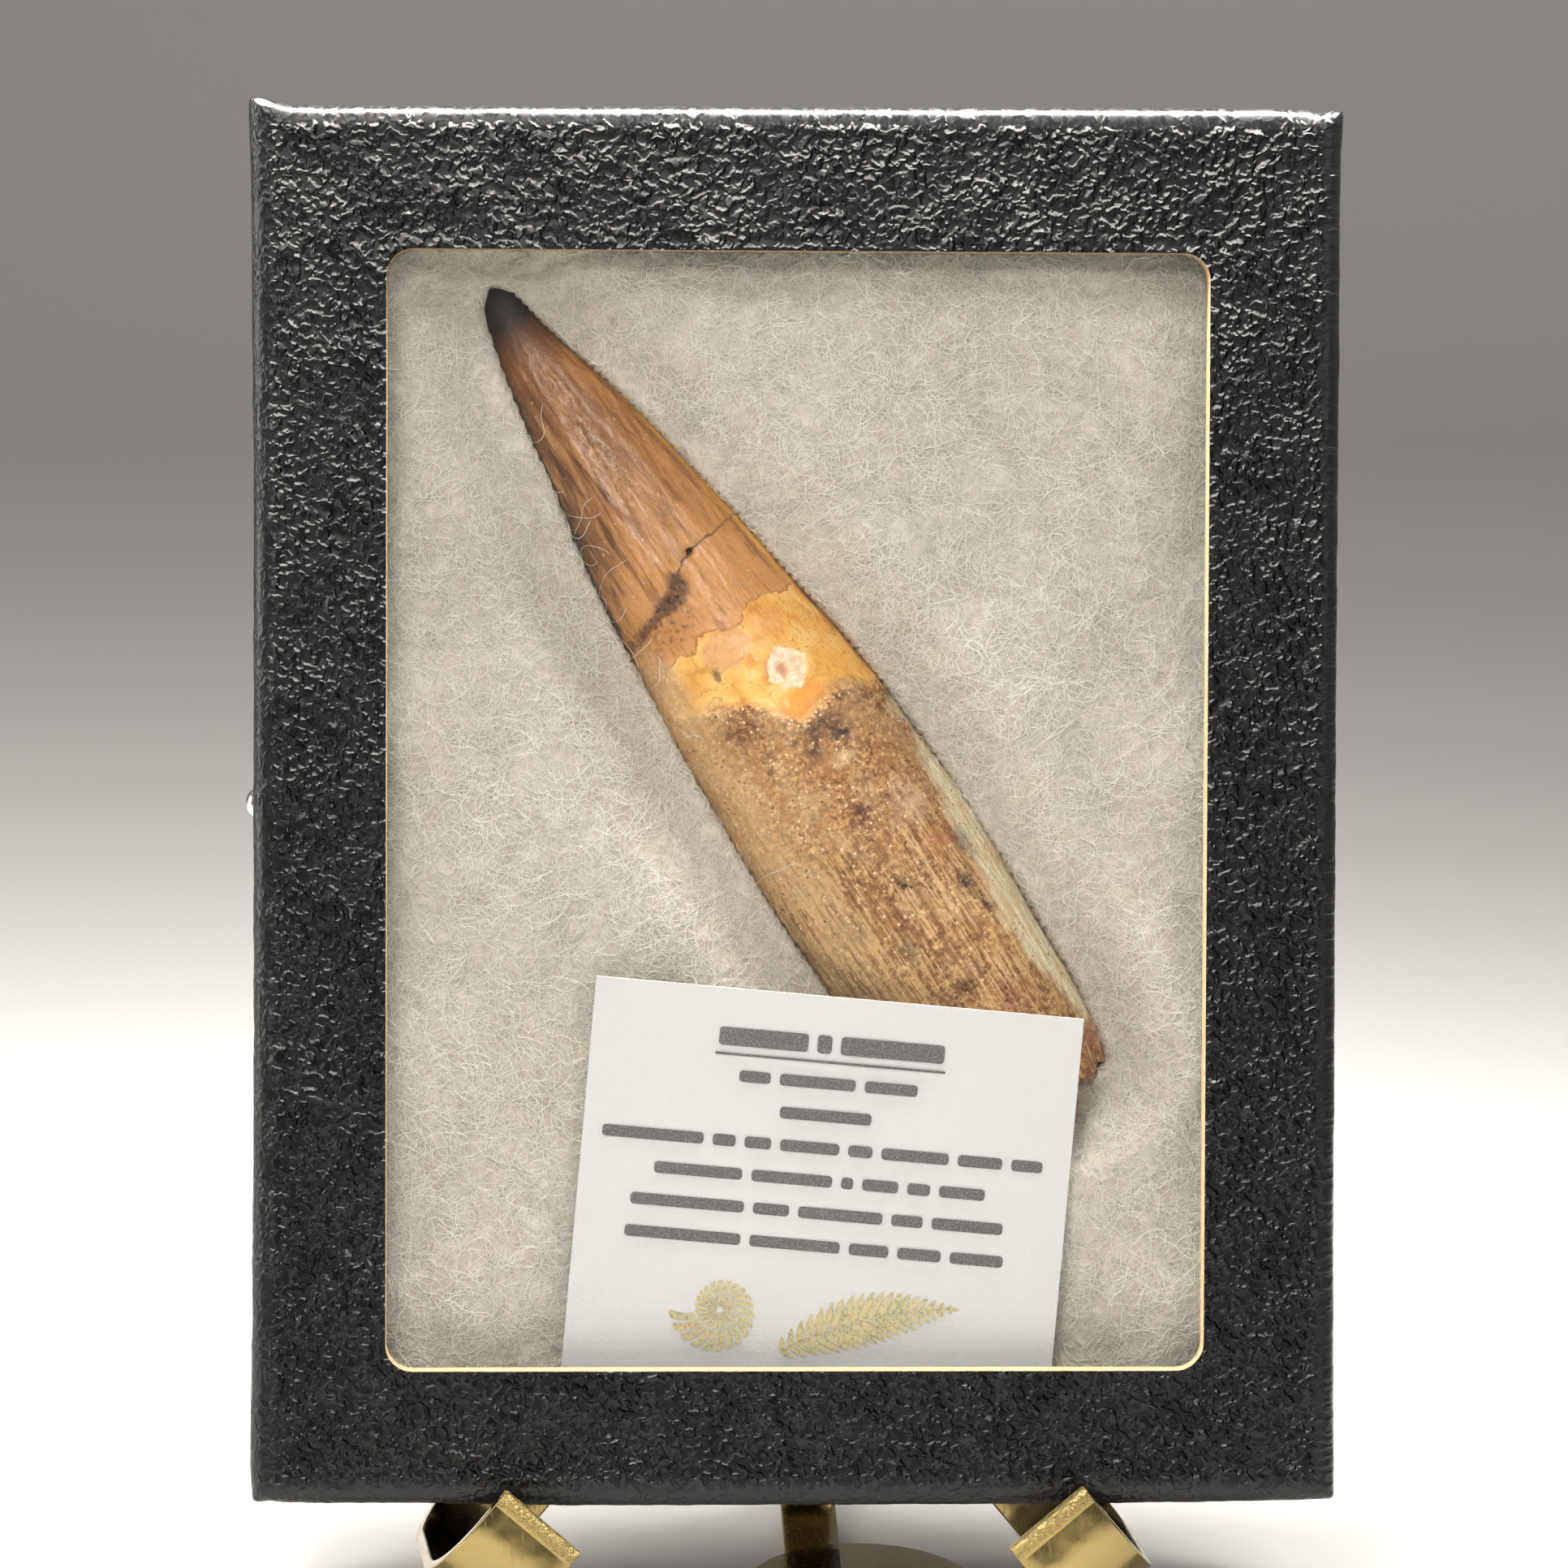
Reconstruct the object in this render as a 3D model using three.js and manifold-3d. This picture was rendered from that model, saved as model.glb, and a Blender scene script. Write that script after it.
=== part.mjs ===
// A fossil dinosaur tooth on fibre padding in a glass-fronted card case that leans back on a brass strip easel.
// Millimetres, +Z up, front towards -Y. The origin is under the middle of the whole, on the surface it stands on.
import * as THREE from "three";
import { mergeVertices } from "three/addons/utils/BufferGeometryUtils.js";
import Module from "manifold-3d";

const wasm = await Module();
wasm.setup();

// The gap kept between touching pieces.
const GAP = 0.3;

// Case: lid with a window, pane, and tray that slides into the lid.
const CASE_WIDTH = 88.9;
const CASE_HEIGHT = 114.3;
const CASE_DEPTH = 22.2;
const LEAN = THREE.MathUtils.degToRad(10);
const BOARD = 1.2;
const LID_DEPTH = 20.2;
const LID_EDGE_RADIUS = 1.9;
const LID_CORNER_RADIUS = 0.6;
const WINDOW_WIDTH = 67.1;
const WINDOW_HEIGHT = 91.6;
const WINDOW_BOTTOM = 11;
const WINDOW_RADIUS = 2.2;
const GLASS_THICKNESS = 1.6;

// Tooth: its axis lies in the plane of the case, tip at the upper left.
const TOOTH_LENGTH = 82.5;
const TOOTH_TIP = new THREE.Vector2(-25.4, 100.2);
const TOOTH_TURN = THREE.MathUtils.degToRad(-146);
const TOOTH_FLATTENING = 0.78;
const TOOTH_AROUND = 44;
const TOOTH_ALONG = 42;
const CARINA_HEIGHT = 0.35;
const FLUTE_DEPTH = 0.14;
const FLUTES = 12;
const CROWN_LENGTH = 28.5;
const CRACK_DEPTH = 0.55;
const CRACK_WIDTH = 1.1;
const PIT_DEPTH = 0.9;
// Full width of the tooth at distances from its tip.
const TOOTH_WIDTHS = [
  [0, 2.2],
  [4, 5.2],
  [11, 8.3],
  [22, 12.3],
  [33, 15.5],
  [46, 18.4],
  [63, 18.8],
  [75, 18.2],
  [82.5, 15.8],
];

// Padding: fibre filling that dips to the tooth's flanks.
const PADDING_FRONT = -5;
const PADDING_AT_TOOTH = -10.9;
const PADDING_DIP_REACH = 10;
const PADDING_PUFF = 0.5;
const PADDING_COLUMNS = 22;
const PADDING_ROWS = 28;

// Label card, in front of the tooth's root end.
const CARD_WIDTH = 40.5;
const CARD_HEIGHT = 36;
const CARD_THICKNESS = 0.3;
const CARD_CORNER = new THREE.Vector2(-16.4, 43.2);
const CARD_TURN = THREE.MathUtils.degToRad(-5);

// Pin through the left wall of lid and tray.
const PIN_HEAD_RADIUS = 1.18;
const PIN_HEAD_HEIGHT = 1;
const PIN_SHANK_RADIUS = 0.4;
const PIN_LENGTH = 9;
const PIN_DEPTH = -9.5;

// Easel: two hooked arms of flat strip that cross behind the case, and a back leg with a round foot.
const STRIP = 1.1;
const ARM_WIDTH = 8;
const ARM_ANGLE = THREE.MathUtils.degToRad(50);
const ARM_SPLAY = 2;
const ARM_OVERRUN = 5;
const BEND_RADIUS = 6.5;
const LIP_CORNER = new THREE.Vector2(-23.7, 1.3);
const LIP_RISE = 9.5;
const BEND_STEPS = 7;
const RIVET_RADIUS = 1;
const RIVET_HEAD_RADIUS = 2.1;
const RIVET_HEAD_HEIGHT = 0.6;
const LEG_WIDTH = 5;
const LEG_TAB_ABOVE = 4.5;
const LEG_TAB_BELOW = 7;
const LEG_BACK = 39.5;
const LEG_BEND_RADIUS = 2.6;
const LEG_SHIFT = 2.6;
const FOOT_RADIUS = 10;
const FOOT_CENTRE = new THREE.Vector2(6.4, 16);

const COLOURS = {
  cover: new THREE.MeshStandardMaterial({ color: 0x232124, roughness: 0.55 }),
  board: new THREE.MeshStandardMaterial({ color: 0x2b282a, roughness: 0.7 }),
  glass: new THREE.MeshStandardMaterial({
    color: 0xf2f6f5,
    roughness: 0.05,
    transparent: true,
    opacity: 0.3,
  }),
  fossil: new THREE.MeshStandardMaterial({ color: 0x8a5a38, roughness: 0.45 }),
  fibre: new THREE.MeshStandardMaterial({ color: 0xd8d2c8, roughness: 0.95 }),
  paper: new THREE.MeshStandardMaterial({ color: 0xf3f1ea, roughness: 0.8 }),
  nickel: new THREE.MeshStandardMaterial({ color: 0xc9c2ae, roughness: 0.25, metalness: 1 }),
  brass: new THREE.MeshStandardMaterial({ color: 0xc9a44c, roughness: 0.25, metalness: 1 }),
};

function solidOf(geometry) {
  const bare = geometry.clone();
  bare.deleteAttribute("normal");
  bare.deleteAttribute("uv");
  const merged = mergeVertices(bare, 1e-4);
  return new wasm.Manifold(
    new wasm.Mesh({
      numProp: 3,
      vertProperties: merged.attributes.position.array,
      triVerts: new Uint32Array(merged.index.array),
    }),
  );
}

function geometryOf(solid) {
  const mesh = solid.getMesh();
  const geometry = new THREE.BufferGeometry();
  geometry.setAttribute("position", new THREE.BufferAttribute(mesh.vertProperties, 3));
  geometry.setIndex(new THREE.BufferAttribute(mesh.triVerts, 1));
  geometry.computeVertexNormals();
  return geometry;
}

function piece(name, geometry, material) {
  const mesh = new THREE.Mesh(geometry, material);
  mesh.name = name;
  return mesh;
}

function roundedRectangle(width, height, radius) {
  const x = width / 2;
  const y = height / 2;
  const shape = new THREE.Shape();
  shape.moveTo(-x + radius, -y);
  shape.absarc(x - radius, -y + radius, radius, -Math.PI / 2, 0);
  shape.absarc(x - radius, y - radius, radius, 0, Math.PI / 2);
  shape.absarc(-x + radius, y - radius, radius, Math.PI / 2, Math.PI);
  shape.absarc(-x + radius, -y + radius, radius, Math.PI, 1.5 * Math.PI);
  return shape;
}

// A box given by its size in the case's face and its two depths; w is 0 at the front and negative behind it.
function faceBox(width, height, centreHeight, front, back) {
  return new THREE.BoxGeometry(width, height, front - back).translate(
    0,
    centreHeight,
    (front + back) / 2,
  );
}

// A flat strip bent along a path in its own XY plane, with round bends, and drawn out along Z to its width.
function bentStrip(path, radius, thickness, width) {
  const middle = [];
  path.forEach((point, i) => {
    const last = i === path.length - 1;
    const along = (last ? point : path[i + 1]).clone().sub(last ? path[i - 1] : point).normalize();
    if (i === 0 || last) {
      middle.push({ point, along });
      return;
    }
    const before = point.clone().sub(path[i - 1]).normalize();
    const turn = Math.atan2(before.cross(along), before.dot(along));
    const reach = radius * Math.tan(Math.abs(turn) / 2);
    const start = point.clone().addScaledVector(before, -reach);
    const inward = new THREE.Vector2(-before.y, before.x).multiplyScalar(Math.sign(turn));
    const centre = start.clone().addScaledVector(inward, radius);
    for (let k = 0; k <= BEND_STEPS; k++) {
      const angle = (turn * k) / BEND_STEPS;
      middle.push({
        point: start.clone().rotateAround(centre, angle),
        along: before.clone().rotateAround(new THREE.Vector2(), angle),
      });
    }
  });
  const side = (sign) =>
    middle.map(({ point, along }) =>
      new THREE.Vector2(-along.y, along.x).multiplyScalar((sign * thickness) / 2).add(point),
    );
  const outline = [...side(-1), ...side(1).reverse()];
  return new THREE.ExtrudeGeometry(new THREE.Shape(outline), {
    depth: width,
    bevelEnabled: false,
    curveSegments: 1,
  });
}

const middleHeight = CASE_HEIGHT / 2;
const glassFront = -BOARD - GAP;
const glassBack = glassFront - GLASS_THICKNESS;
const trayFront = glassBack - GAP;
const trayWidth = CASE_WIDTH - 2 * (BOARD + GAP);
const trayHeight = CASE_HEIGHT - 2 * (BOARD + GAP);
const paddingWidth = trayWidth - 2 * (BOARD + GAP);
const paddingHeight = trayHeight - 2 * (BOARD + GAP);
const paddingBack = -CASE_DEPTH + BOARD + GAP;

// The hole that the pin's shank passes through, in lid, tray and padding.
function pinHole() {
  const length = PIN_LENGTH + 4;
  return solidOf(
    new THREE.CylinderGeometry(PIN_SHANK_RADIUS + GAP, PIN_SHANK_RADIUS + GAP, length, 10)
      .rotateZ(Math.PI / 2)
      .translate(-CASE_WIDTH / 2 + length / 2 - 2, middleHeight, PIN_DEPTH),
  );
}

function lid() {
  const outline = roundedRectangle(
    CASE_WIDTH - 2 * LID_EDGE_RADIUS,
    CASE_HEIGHT - 2 * LID_EDGE_RADIUS,
    LID_CORNER_RADIUS,
  );
  const shell = new THREE.ExtrudeGeometry(outline, {
    depth: CASE_DEPTH,
    bevelThickness: LID_EDGE_RADIUS,
    bevelSize: LID_EDGE_RADIUS,
    bevelSegments: 4,
    curveSegments: 3,
  }).translate(0, middleHeight, -CASE_DEPTH - LID_EDGE_RADIUS);
  const behind = faceBox(2 * CASE_WIDTH, 2 * CASE_HEIGHT, middleHeight, -LID_DEPTH, -3 * CASE_DEPTH);
  const inside = faceBox(
    CASE_WIDTH - 2 * BOARD,
    CASE_HEIGHT - 2 * BOARD,
    middleHeight,
    -BOARD,
    -2 * CASE_DEPTH,
  );
  const opening = new THREE.ExtrudeGeometry(
    roundedRectangle(WINDOW_WIDTH, WINDOW_HEIGHT, WINDOW_RADIUS),
    { depth: 4 * BOARD, bevelEnabled: false, curveSegments: 6 },
  ).translate(0, WINDOW_BOTTOM + WINDOW_HEIGHT / 2, -2 * BOARD);
  return solidOf(shell)
    .subtract(solidOf(behind))
    .subtract(solidOf(inside))
    .subtract(solidOf(opening))
    .subtract(pinHole());
}

function glass() {
  return faceBox(trayWidth, trayHeight, middleHeight, glassFront, glassBack);
}

function tray() {
  const outer = faceBox(trayWidth, trayHeight, middleHeight, trayFront, -CASE_DEPTH);
  const inner = faceBox(
    trayWidth - 2 * BOARD,
    trayHeight - 2 * BOARD,
    middleHeight,
    0,
    -CASE_DEPTH + BOARD,
  );
  return solidOf(outer).subtract(solidOf(inner)).subtract(pinHole());
}

const toothOutline = new THREE.SplineCurve(
  TOOTH_WIDTHS.map(([along, width]) => new THREE.Vector2(along, width / 2)),
);

function toothHalfWidth(along) {
  let low = 0;
  let high = 1;
  for (let step = 0; step < 24; step++) {
    const middle = (low + high) / 2;
    if (toothOutline.getPoint(middle).x < along) low = middle;
    else high = middle;
  }
  return toothOutline.getPoint(low).y;
}

function bell(x, width) {
  return Math.exp(-((x / width) ** 2));
}

// How far the surface stands out from the smooth form, in millimetres, at a distance from the tip and an angle round it.
function toothRelief(along, angle) {
  const { smoothstep } = THREE.MathUtils;
  const crown = smoothstep(along, 4, 10) * (1 - smoothstep(along, CROWN_LENGTH + 10, CROWN_LENGTH + 20));
  const flutes = FLUTE_DEPTH * Math.cos(FLUTES * angle) * crown;
  const edge = Math.min(Math.abs(Math.sin(angle / 2)), Math.abs(Math.cos(angle / 2)));
  const carina = CARINA_HEIGHT * bell(edge, 0.1) * (1 - smoothstep(along, 40, 55));
  const crackAt = CROWN_LENGTH + 2.4 * Math.cos(angle) + 0.6 * Math.sin(3 * angle);
  const crack = -CRACK_DEPTH * bell(along - crackAt, CRACK_WIDTH);
  const pit = -PIT_DEPTH * bell(along - 29.5, 2) * bell(angle - 1.25, 0.3);
  const root = smoothstep(along, 48, 60);
  const lumps = root * 0.25 * (Math.sin(3 * angle + along / 5) + Math.sin(5 * angle - along / 3));
  return flutes + carina + crack + pit + lumps;
}

// The tooth about its own Y axis, tip at the origin, its broken root end ragged.
function toothForm(clearance, around, along) {
  const profile = [new THREE.Vector2(0, -clearance)];
  const first = 0.35;
  for (let i = 0; i <= along; i++) {
    profile.push(new THREE.Vector2(1, first + ((TOOTH_LENGTH - first) * i) / along));
  }
  profile.push(new THREE.Vector2(0.55, TOOTH_LENGTH + 0.2), new THREE.Vector2(0, TOOTH_LENGTH));
  const form = new THREE.LatheGeometry(profile, around);
  const position = form.attributes.position;
  for (let i = 0; i < position.count; i++) {
    const share = Math.hypot(position.getX(i), position.getZ(i));
    const angle = Math.atan2(position.getZ(i), position.getX(i));
    const distance = position.getY(i);
    const half = toothHalfWidth(Math.min(distance, TOOTH_LENGTH));
    const relief = share > 0.9 ? toothRelief(distance, angle) + clearance : 0;
    const ragged = THREE.MathUtils.smoothstep(distance, 79, 82) * (Math.sin(4 * angle + 1) + Math.sin(7 * angle));
    position.setXYZ(
      i,
      (half * share + relief) * Math.cos(angle),
      distance + (0.5 * ragged + clearance) * THREE.MathUtils.smoothstep(distance, 79, 82),
      (half * share * TOOTH_FLATTENING + relief) * Math.sin(angle),
    );
  }
  return form;
}

const toothThickness = Math.max(...TOOTH_WIDTHS.map(([, width]) => width)) * TOOTH_FLATTENING;
const toothAxisDepth = trayFront - CARD_THICKNESS - 2 * GAP - 0.45 - toothThickness / 2;

function placeTooth(geometry) {
  return geometry.rotateZ(TOOTH_TURN).translate(TOOTH_TIP.x, TOOTH_TIP.y, toothAxisDepth);
}

const toothAxis = new THREE.Vector2(0, 1).rotateAround(new THREE.Vector2(), TOOTH_TURN);

// Height of the padding's front: low along the tooth's flanks, fuller away from it, with soft puffs.
function paddingHeightAt(u, v) {
  const offset = new THREE.Vector2(u, v).sub(TOOTH_TIP);
  const along = THREE.MathUtils.clamp(offset.dot(toothAxis), 0, TOOTH_LENGTH);
  const away = offset.addScaledVector(toothAxis, -along).length() - toothHalfWidth(along);
  const full = THREE.MathUtils.smoothstep(away, 0, PADDING_DIP_REACH);
  const puff = PADDING_PUFF * Math.sin(u / 5 + Math.sin(v / 9)) * Math.sin(v / 7 + Math.sin(u / 8));
  return THREE.MathUtils.lerp(PADDING_AT_TOOTH, PADDING_FRONT, full) + puff * full;
}

function padding() {
  const block = new THREE.BoxGeometry(
    paddingWidth,
    paddingHeight,
    1,
    PADDING_COLUMNS,
    PADDING_ROWS,
    1,
  ).translate(0, middleHeight, 0);
  const position = block.attributes.position;
  for (let i = 0; i < position.count; i++) {
    const u = position.getX(i);
    const v = position.getY(i);
    position.setZ(i, position.getZ(i) > 0 ? paddingHeightAt(u, v) : paddingBack);
  }
  const hollow = solidOf(placeTooth(toothForm(0.45, 28, 20)));
  return solidOf(block).subtract(hollow).subtract(pinHole());
}

function labelCard() {
  return new THREE.BoxGeometry(CARD_WIDTH, CARD_HEIGHT, CARD_THICKNESS)
    .translate(CARD_WIDTH / 2, -CARD_HEIGHT / 2, 0)
    .rotateZ(CARD_TURN)
    .translate(CARD_CORNER.x, CARD_CORNER.y, trayFront - CARD_THICKNESS / 2);
}

function pin() {
  const profile = [];
  for (let i = 0; i <= 5; i++) {
    const angle = (Math.PI / 2) * (1 - i / 5);
    profile.push(
      new THREE.Vector2(PIN_HEAD_RADIUS * Math.cos(angle), PIN_HEAD_HEIGHT * Math.sin(angle)),
    );
  }
  profile.push(
    new THREE.Vector2(PIN_SHANK_RADIUS, 0),
    new THREE.Vector2(PIN_SHANK_RADIUS, 2 - PIN_LENGTH),
    new THREE.Vector2(0, -PIN_LENGTH),
  );
  profile[0].x = 0;
  return new THREE.LatheGeometry(profile.reverse(), 16)
    .rotateZ(Math.PI / 2)
    .translate(-CASE_WIDTH / 2 - GAP, middleHeight, PIN_DEPTH);
}

const armAlong = new THREE.Vector3(Math.cos(ARM_ANGLE), Math.sin(ARM_ANGLE), 0);
const armAcross = new THREE.Vector3(Math.sin(ARM_ANGLE), -Math.cos(ARM_ANGLE), 0);
const lipMiddle = GAP + STRIP / 2;
const armBack = -CASE_DEPTH - 2 * GAP - RIVET_HEAD_HEIGHT - STRIP / 2;
const layer = STRIP + GAP;
const hookCorner = new THREE.Vector3(LIP_CORNER.x, LIP_CORNER.y, 0).addScaledVector(armAlong, -LIP_RISE);
const armMiddle = hookCorner.clone().addScaledVector(armAcross, ARM_WIDTH / 2);
armMiddle.x -= ARM_SPLAY;
const armToRivet = -armMiddle.x / armAlong.x;
const rivetHeight = armMiddle.y + armToRivet * armAlong.y;

function rivetHole() {
  return solidOf(
    new THREE.CylinderGeometry(RIVET_RADIUS + GAP, RIVET_RADIUS + GAP, 4 * CASE_DEPTH, 16)
      .rotateX(Math.PI / 2)
      .translate(0, rivetHeight, armBack - 2 * CASE_DEPTH + 3),
  );
}

// The left arm in the case's face: lip, hook under the case, and the run up behind it to the rivet.
// The arm behind the other is raised a little, so that both hooks touch the surface.
function arm(backMiddle) {
  const rise = (armBack - backMiddle) * Math.tan(LEAN);
  const strip = bentStrip(
    [
      new THREE.Vector2(LIP_RISE, lipMiddle),
      new THREE.Vector2(0, lipMiddle),
      new THREE.Vector2(0, backMiddle),
      new THREE.Vector2(armToRivet + ARM_OVERRUN, backMiddle),
    ],
    BEND_RADIUS,
    STRIP,
    ARM_WIDTH,
  );
  const frame = new THREE.Matrix4().makeBasis(armAlong, new THREE.Vector3(0, 0, 1), armAcross);
  strip.applyMatrix4(frame.setPosition(hookCorner)).translate(0, rise, 0);
  const splay = ARM_SPLAY / (lipMiddle - backMiddle);
  strip.applyMatrix4(new THREE.Matrix4().makeShear(0, 0, 0, 0, splay, 0));
  return solidOf(strip).subtract(rivetHole());
}

function rivet() {
  const stack = 3 * STRIP + 4 * GAP;
  const front = armBack + STRIP / 2 + GAP;
  const profile = [
    new THREE.Vector2(0, -stack - RIVET_HEAD_HEIGHT),
    new THREE.Vector2(RIVET_HEAD_RADIUS, -stack - RIVET_HEAD_HEIGHT),
    new THREE.Vector2(RIVET_HEAD_RADIUS, -stack),
    new THREE.Vector2(RIVET_RADIUS, -stack),
    new THREE.Vector2(RIVET_RADIUS, 0),
    new THREE.Vector2(RIVET_HEAD_RADIUS, 0),
    new THREE.Vector2(RIVET_HEAD_RADIUS, RIVET_HEAD_HEIGHT),
    new THREE.Vector2(0, RIVET_HEAD_HEIGHT),
  ];
  return new THREE.LatheGeometry(profile, 16).rotateX(Math.PI / 2).translate(0, rivetHeight, front);
}

// The back leg, standing in the upright frame: a tab against the arms, the run down, and the strip along the surface.
function backLeg(leaning) {
  const tabDepth = armBack - 2 * layer;
  const at = (height) => {
    const point = leaning.localToWorld(new THREE.Vector3(0, height, tabDepth));
    return new THREE.Vector2(point.y, point.z);
  };
  const strip = bentStrip(
    [
      at(rivetHeight + LEG_TAB_ABOVE),
      at(rivetHeight - LEG_TAB_BELOW),
      new THREE.Vector2(LEG_BACK, STRIP / 2),
      new THREE.Vector2(FOOT_CENTRE.y, STRIP / 2),
    ],
    LEG_BEND_RADIUS,
    STRIP,
    LEG_WIDTH,
  );
  const upright = new THREE.Matrix4().makeBasis(
    new THREE.Vector3(0, 1, 0),
    new THREE.Vector3(0, 0, 1),
    new THREE.Vector3(1, 0, 0),
  );
  strip.translate(0, 0, -LEG_WIDTH / 2).applyMatrix4(upright);
  const top = at(rivetHeight).y;
  strip.translate(0, 0, -top).applyMatrix4(
    new THREE.Matrix4().makeShear(0, 0, 0, 0, -LEG_SHIFT / top, 0),
  );
  strip.translate(0, 0, top);
  const foot = new THREE.CylinderGeometry(FOOT_RADIUS, FOOT_RADIUS, STRIP, 40)
    .rotateX(Math.PI / 2)
    .translate(FOOT_CENTRE.x, FOOT_CENTRE.y, STRIP / 2);
  const hole = geometryOf(rivetHole()).applyMatrix4(leaning.matrixWorld);
  return solidOf(strip).subtract(solidOf(hole)).add(solidOf(foot));
}

const leaning = new THREE.Group();
leaning.rotation.x = Math.PI / 2 - LEAN;
leaning.add(
  piece("lid", geometryOf(lid()), COLOURS.cover),
  piece("glass", glass(), COLOURS.glass),
  piece("tray", geometryOf(tray()), COLOURS.board),
  piece("padding", geometryOf(padding()), COLOURS.fibre),
  piece("tooth", placeTooth(toothForm(0, TOOTH_AROUND, TOOTH_ALONG)), COLOURS.fossil),
  piece("label_card", labelCard(), COLOURS.paper),
  piece("pin", pin(), COLOURS.nickel),
  piece("easel_arm_left", geometryOf(arm(armBack)), COLOURS.brass),
  piece("easel_rivet", rivet(), COLOURS.brass),
);

const mirrored = new THREE.Group();
mirrored.scale.x = -1;
mirrored.add(piece("easel_arm_right", geometryOf(arm(armBack - layer)), COLOURS.brass));
leaning.add(mirrored);

// The hooks' lowest corners touch the surface.
leaning.position.z = -new THREE.Box3().setFromObject(leaning, true).min.z;
leaning.updateMatrixWorld(true);

const standing = new THREE.Group();
standing.add(leaning, piece("easel_back_leg", geometryOf(backLeg(leaning)), COLOURS.brass));

const box = new THREE.Box3().setFromObject(standing, true);
const middle = box.getCenter(new THREE.Vector3());
standing.position.set(-middle.x, -middle.y, 0);

const part = new THREE.Group();
part.add(standing);

export default part;
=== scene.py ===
"""A fossil dinosaur tooth on fibre padding, in a glass-fronted card case on an easel of brass strip.

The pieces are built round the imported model. Most are modelled in millimetres in the case's own face:
u to the right, v up the face and w out of it to the front, from the middle of the lid's lower front edge.
"""

import math
import random

import bmesh
import bpy
from bpy.props import FloatProperty, FloatVectorProperty, IntProperty, PointerProperty
from bpy.types import Operator, Panel, PropertyGroup
from mathutils import Euler, Matrix, Vector, noise


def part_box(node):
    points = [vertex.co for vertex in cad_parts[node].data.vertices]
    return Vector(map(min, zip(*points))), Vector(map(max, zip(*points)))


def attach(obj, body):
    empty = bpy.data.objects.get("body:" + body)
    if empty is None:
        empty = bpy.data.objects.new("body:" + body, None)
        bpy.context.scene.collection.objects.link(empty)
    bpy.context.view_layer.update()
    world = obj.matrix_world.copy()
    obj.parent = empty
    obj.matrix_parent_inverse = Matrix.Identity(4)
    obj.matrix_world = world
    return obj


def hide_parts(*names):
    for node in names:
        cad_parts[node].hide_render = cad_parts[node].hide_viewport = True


bl_info = {
    "name": "Fossil tooth in a display case",
    "version": (1, 0, 0),
    "blender": (4, 5, 0),
    "location": "3D View > Sidebar > Fossil tooth",
    "description": "Builds a fossil tooth in its glass-fronted case on an easel round the packed model",
    "category": "Object",
}

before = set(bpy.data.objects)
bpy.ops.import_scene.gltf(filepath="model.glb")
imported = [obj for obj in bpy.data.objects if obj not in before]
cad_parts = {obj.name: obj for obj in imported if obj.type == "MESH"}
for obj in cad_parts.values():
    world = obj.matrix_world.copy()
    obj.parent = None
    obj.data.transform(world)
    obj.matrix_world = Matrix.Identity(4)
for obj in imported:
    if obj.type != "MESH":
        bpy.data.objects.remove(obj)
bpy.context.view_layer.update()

MM = 0.001
LEAN = math.radians(10)

# Case, in millimetres in its face.
CASE_WIDTH = 88.9
CASE_HEIGHT = 114.3
CASE_DEPTH = 22.2
CASE_MIDDLE = CASE_HEIGHT / 2
LID_DEPTH = 20.2
BOARD = 1.2
GAP = 0.3
EDGE_ROUND = 1.7
WINDOW_WIDTH = 67.1
WINDOW_HEIGHT = 91.6
WINDOW_MIDDLE = 56.8
WINDOW_ROUND = 2.2
GLASS_BACK = -3.1
TRAY_WIDTH = CASE_WIDTH - 2 * (BOARD + GAP)
TRAY_HEIGHT = CASE_HEIGHT - 2 * (BOARD + GAP)
TRAY_FRONT = GLASS_BACK - GAP
PADDING_WIDTH = TRAY_WIDTH - 2 * (BOARD + GAP)
PADDING_HEIGHT = TRAY_HEIGHT - 2 * (BOARD + GAP)
PADDING_BACK = -20.7
PADDING_FRONT = -5.1
PADDING_AT_TOOTH = -9.8
PADDING_REACH = 7.5

# Tooth: its axis runs from the tip in the plane of the case.
TOOTH_TIP = Vector((-25.4, 100.2))
TOOTH_TURN = math.radians(-146)
TOOTH_LENGTH = 82.5
TOOTH_FLATTENING = 0.78
TOOTH_DEPTH = -12.08
# Distance from the tip, then how far the upper right and the lower left edge lie from the axis.
TOOTH_EDGES = (
    (0.0, 1.3, 1.45),
    (2.0, 1.75, 2.15),
    (6.0, 2.5, 3.2),
    (11.5, 3.85, 4.3),
    (17.0, 5.0, 5.2),
    (22.3, 5.85, 6.35),
    (27.7, 6.75, 7.2),
    (33.2, 7.45, 7.8),
    (38.6, 8.35, 8.25),
    (44.1, 8.95, 8.85),
    (49.6, 9.22, 9.2),
    (55.0, 9.27, 9.42),
    (60.5, 9.18, 9.5),
    (66.0, 9.05, 9.5),
    (71.5, 8.75, 9.35),
    (77.3, 8.25, 9.1),
    (82.5, 7.3, 8.5),
)
# The crack's distance from the tip, by its place across the tooth.
CRACK = (
    (-8.0, 26.8),
    (-5.9, 27.0),
    (-4.5, 27.2),
    (-2.9, 27.3),
    (-1.5, 27.5),
    (-0.3, 28.0),
    (1.1, 29.2),
    (2.5, 30.0),
    (5.0, 31.0),
    (8.0, 31.8),
)

# Label card: its upper left corner and turn in the face.
CARD_WIDTH = 40.5
CARD_HEIGHT = 36.0
CARD_THICKNESS = 0.3
CARD_CORNER = Vector((-16.4, 43.2, TRAY_FRONT))
CARD_TURN = math.radians(-5)

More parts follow.
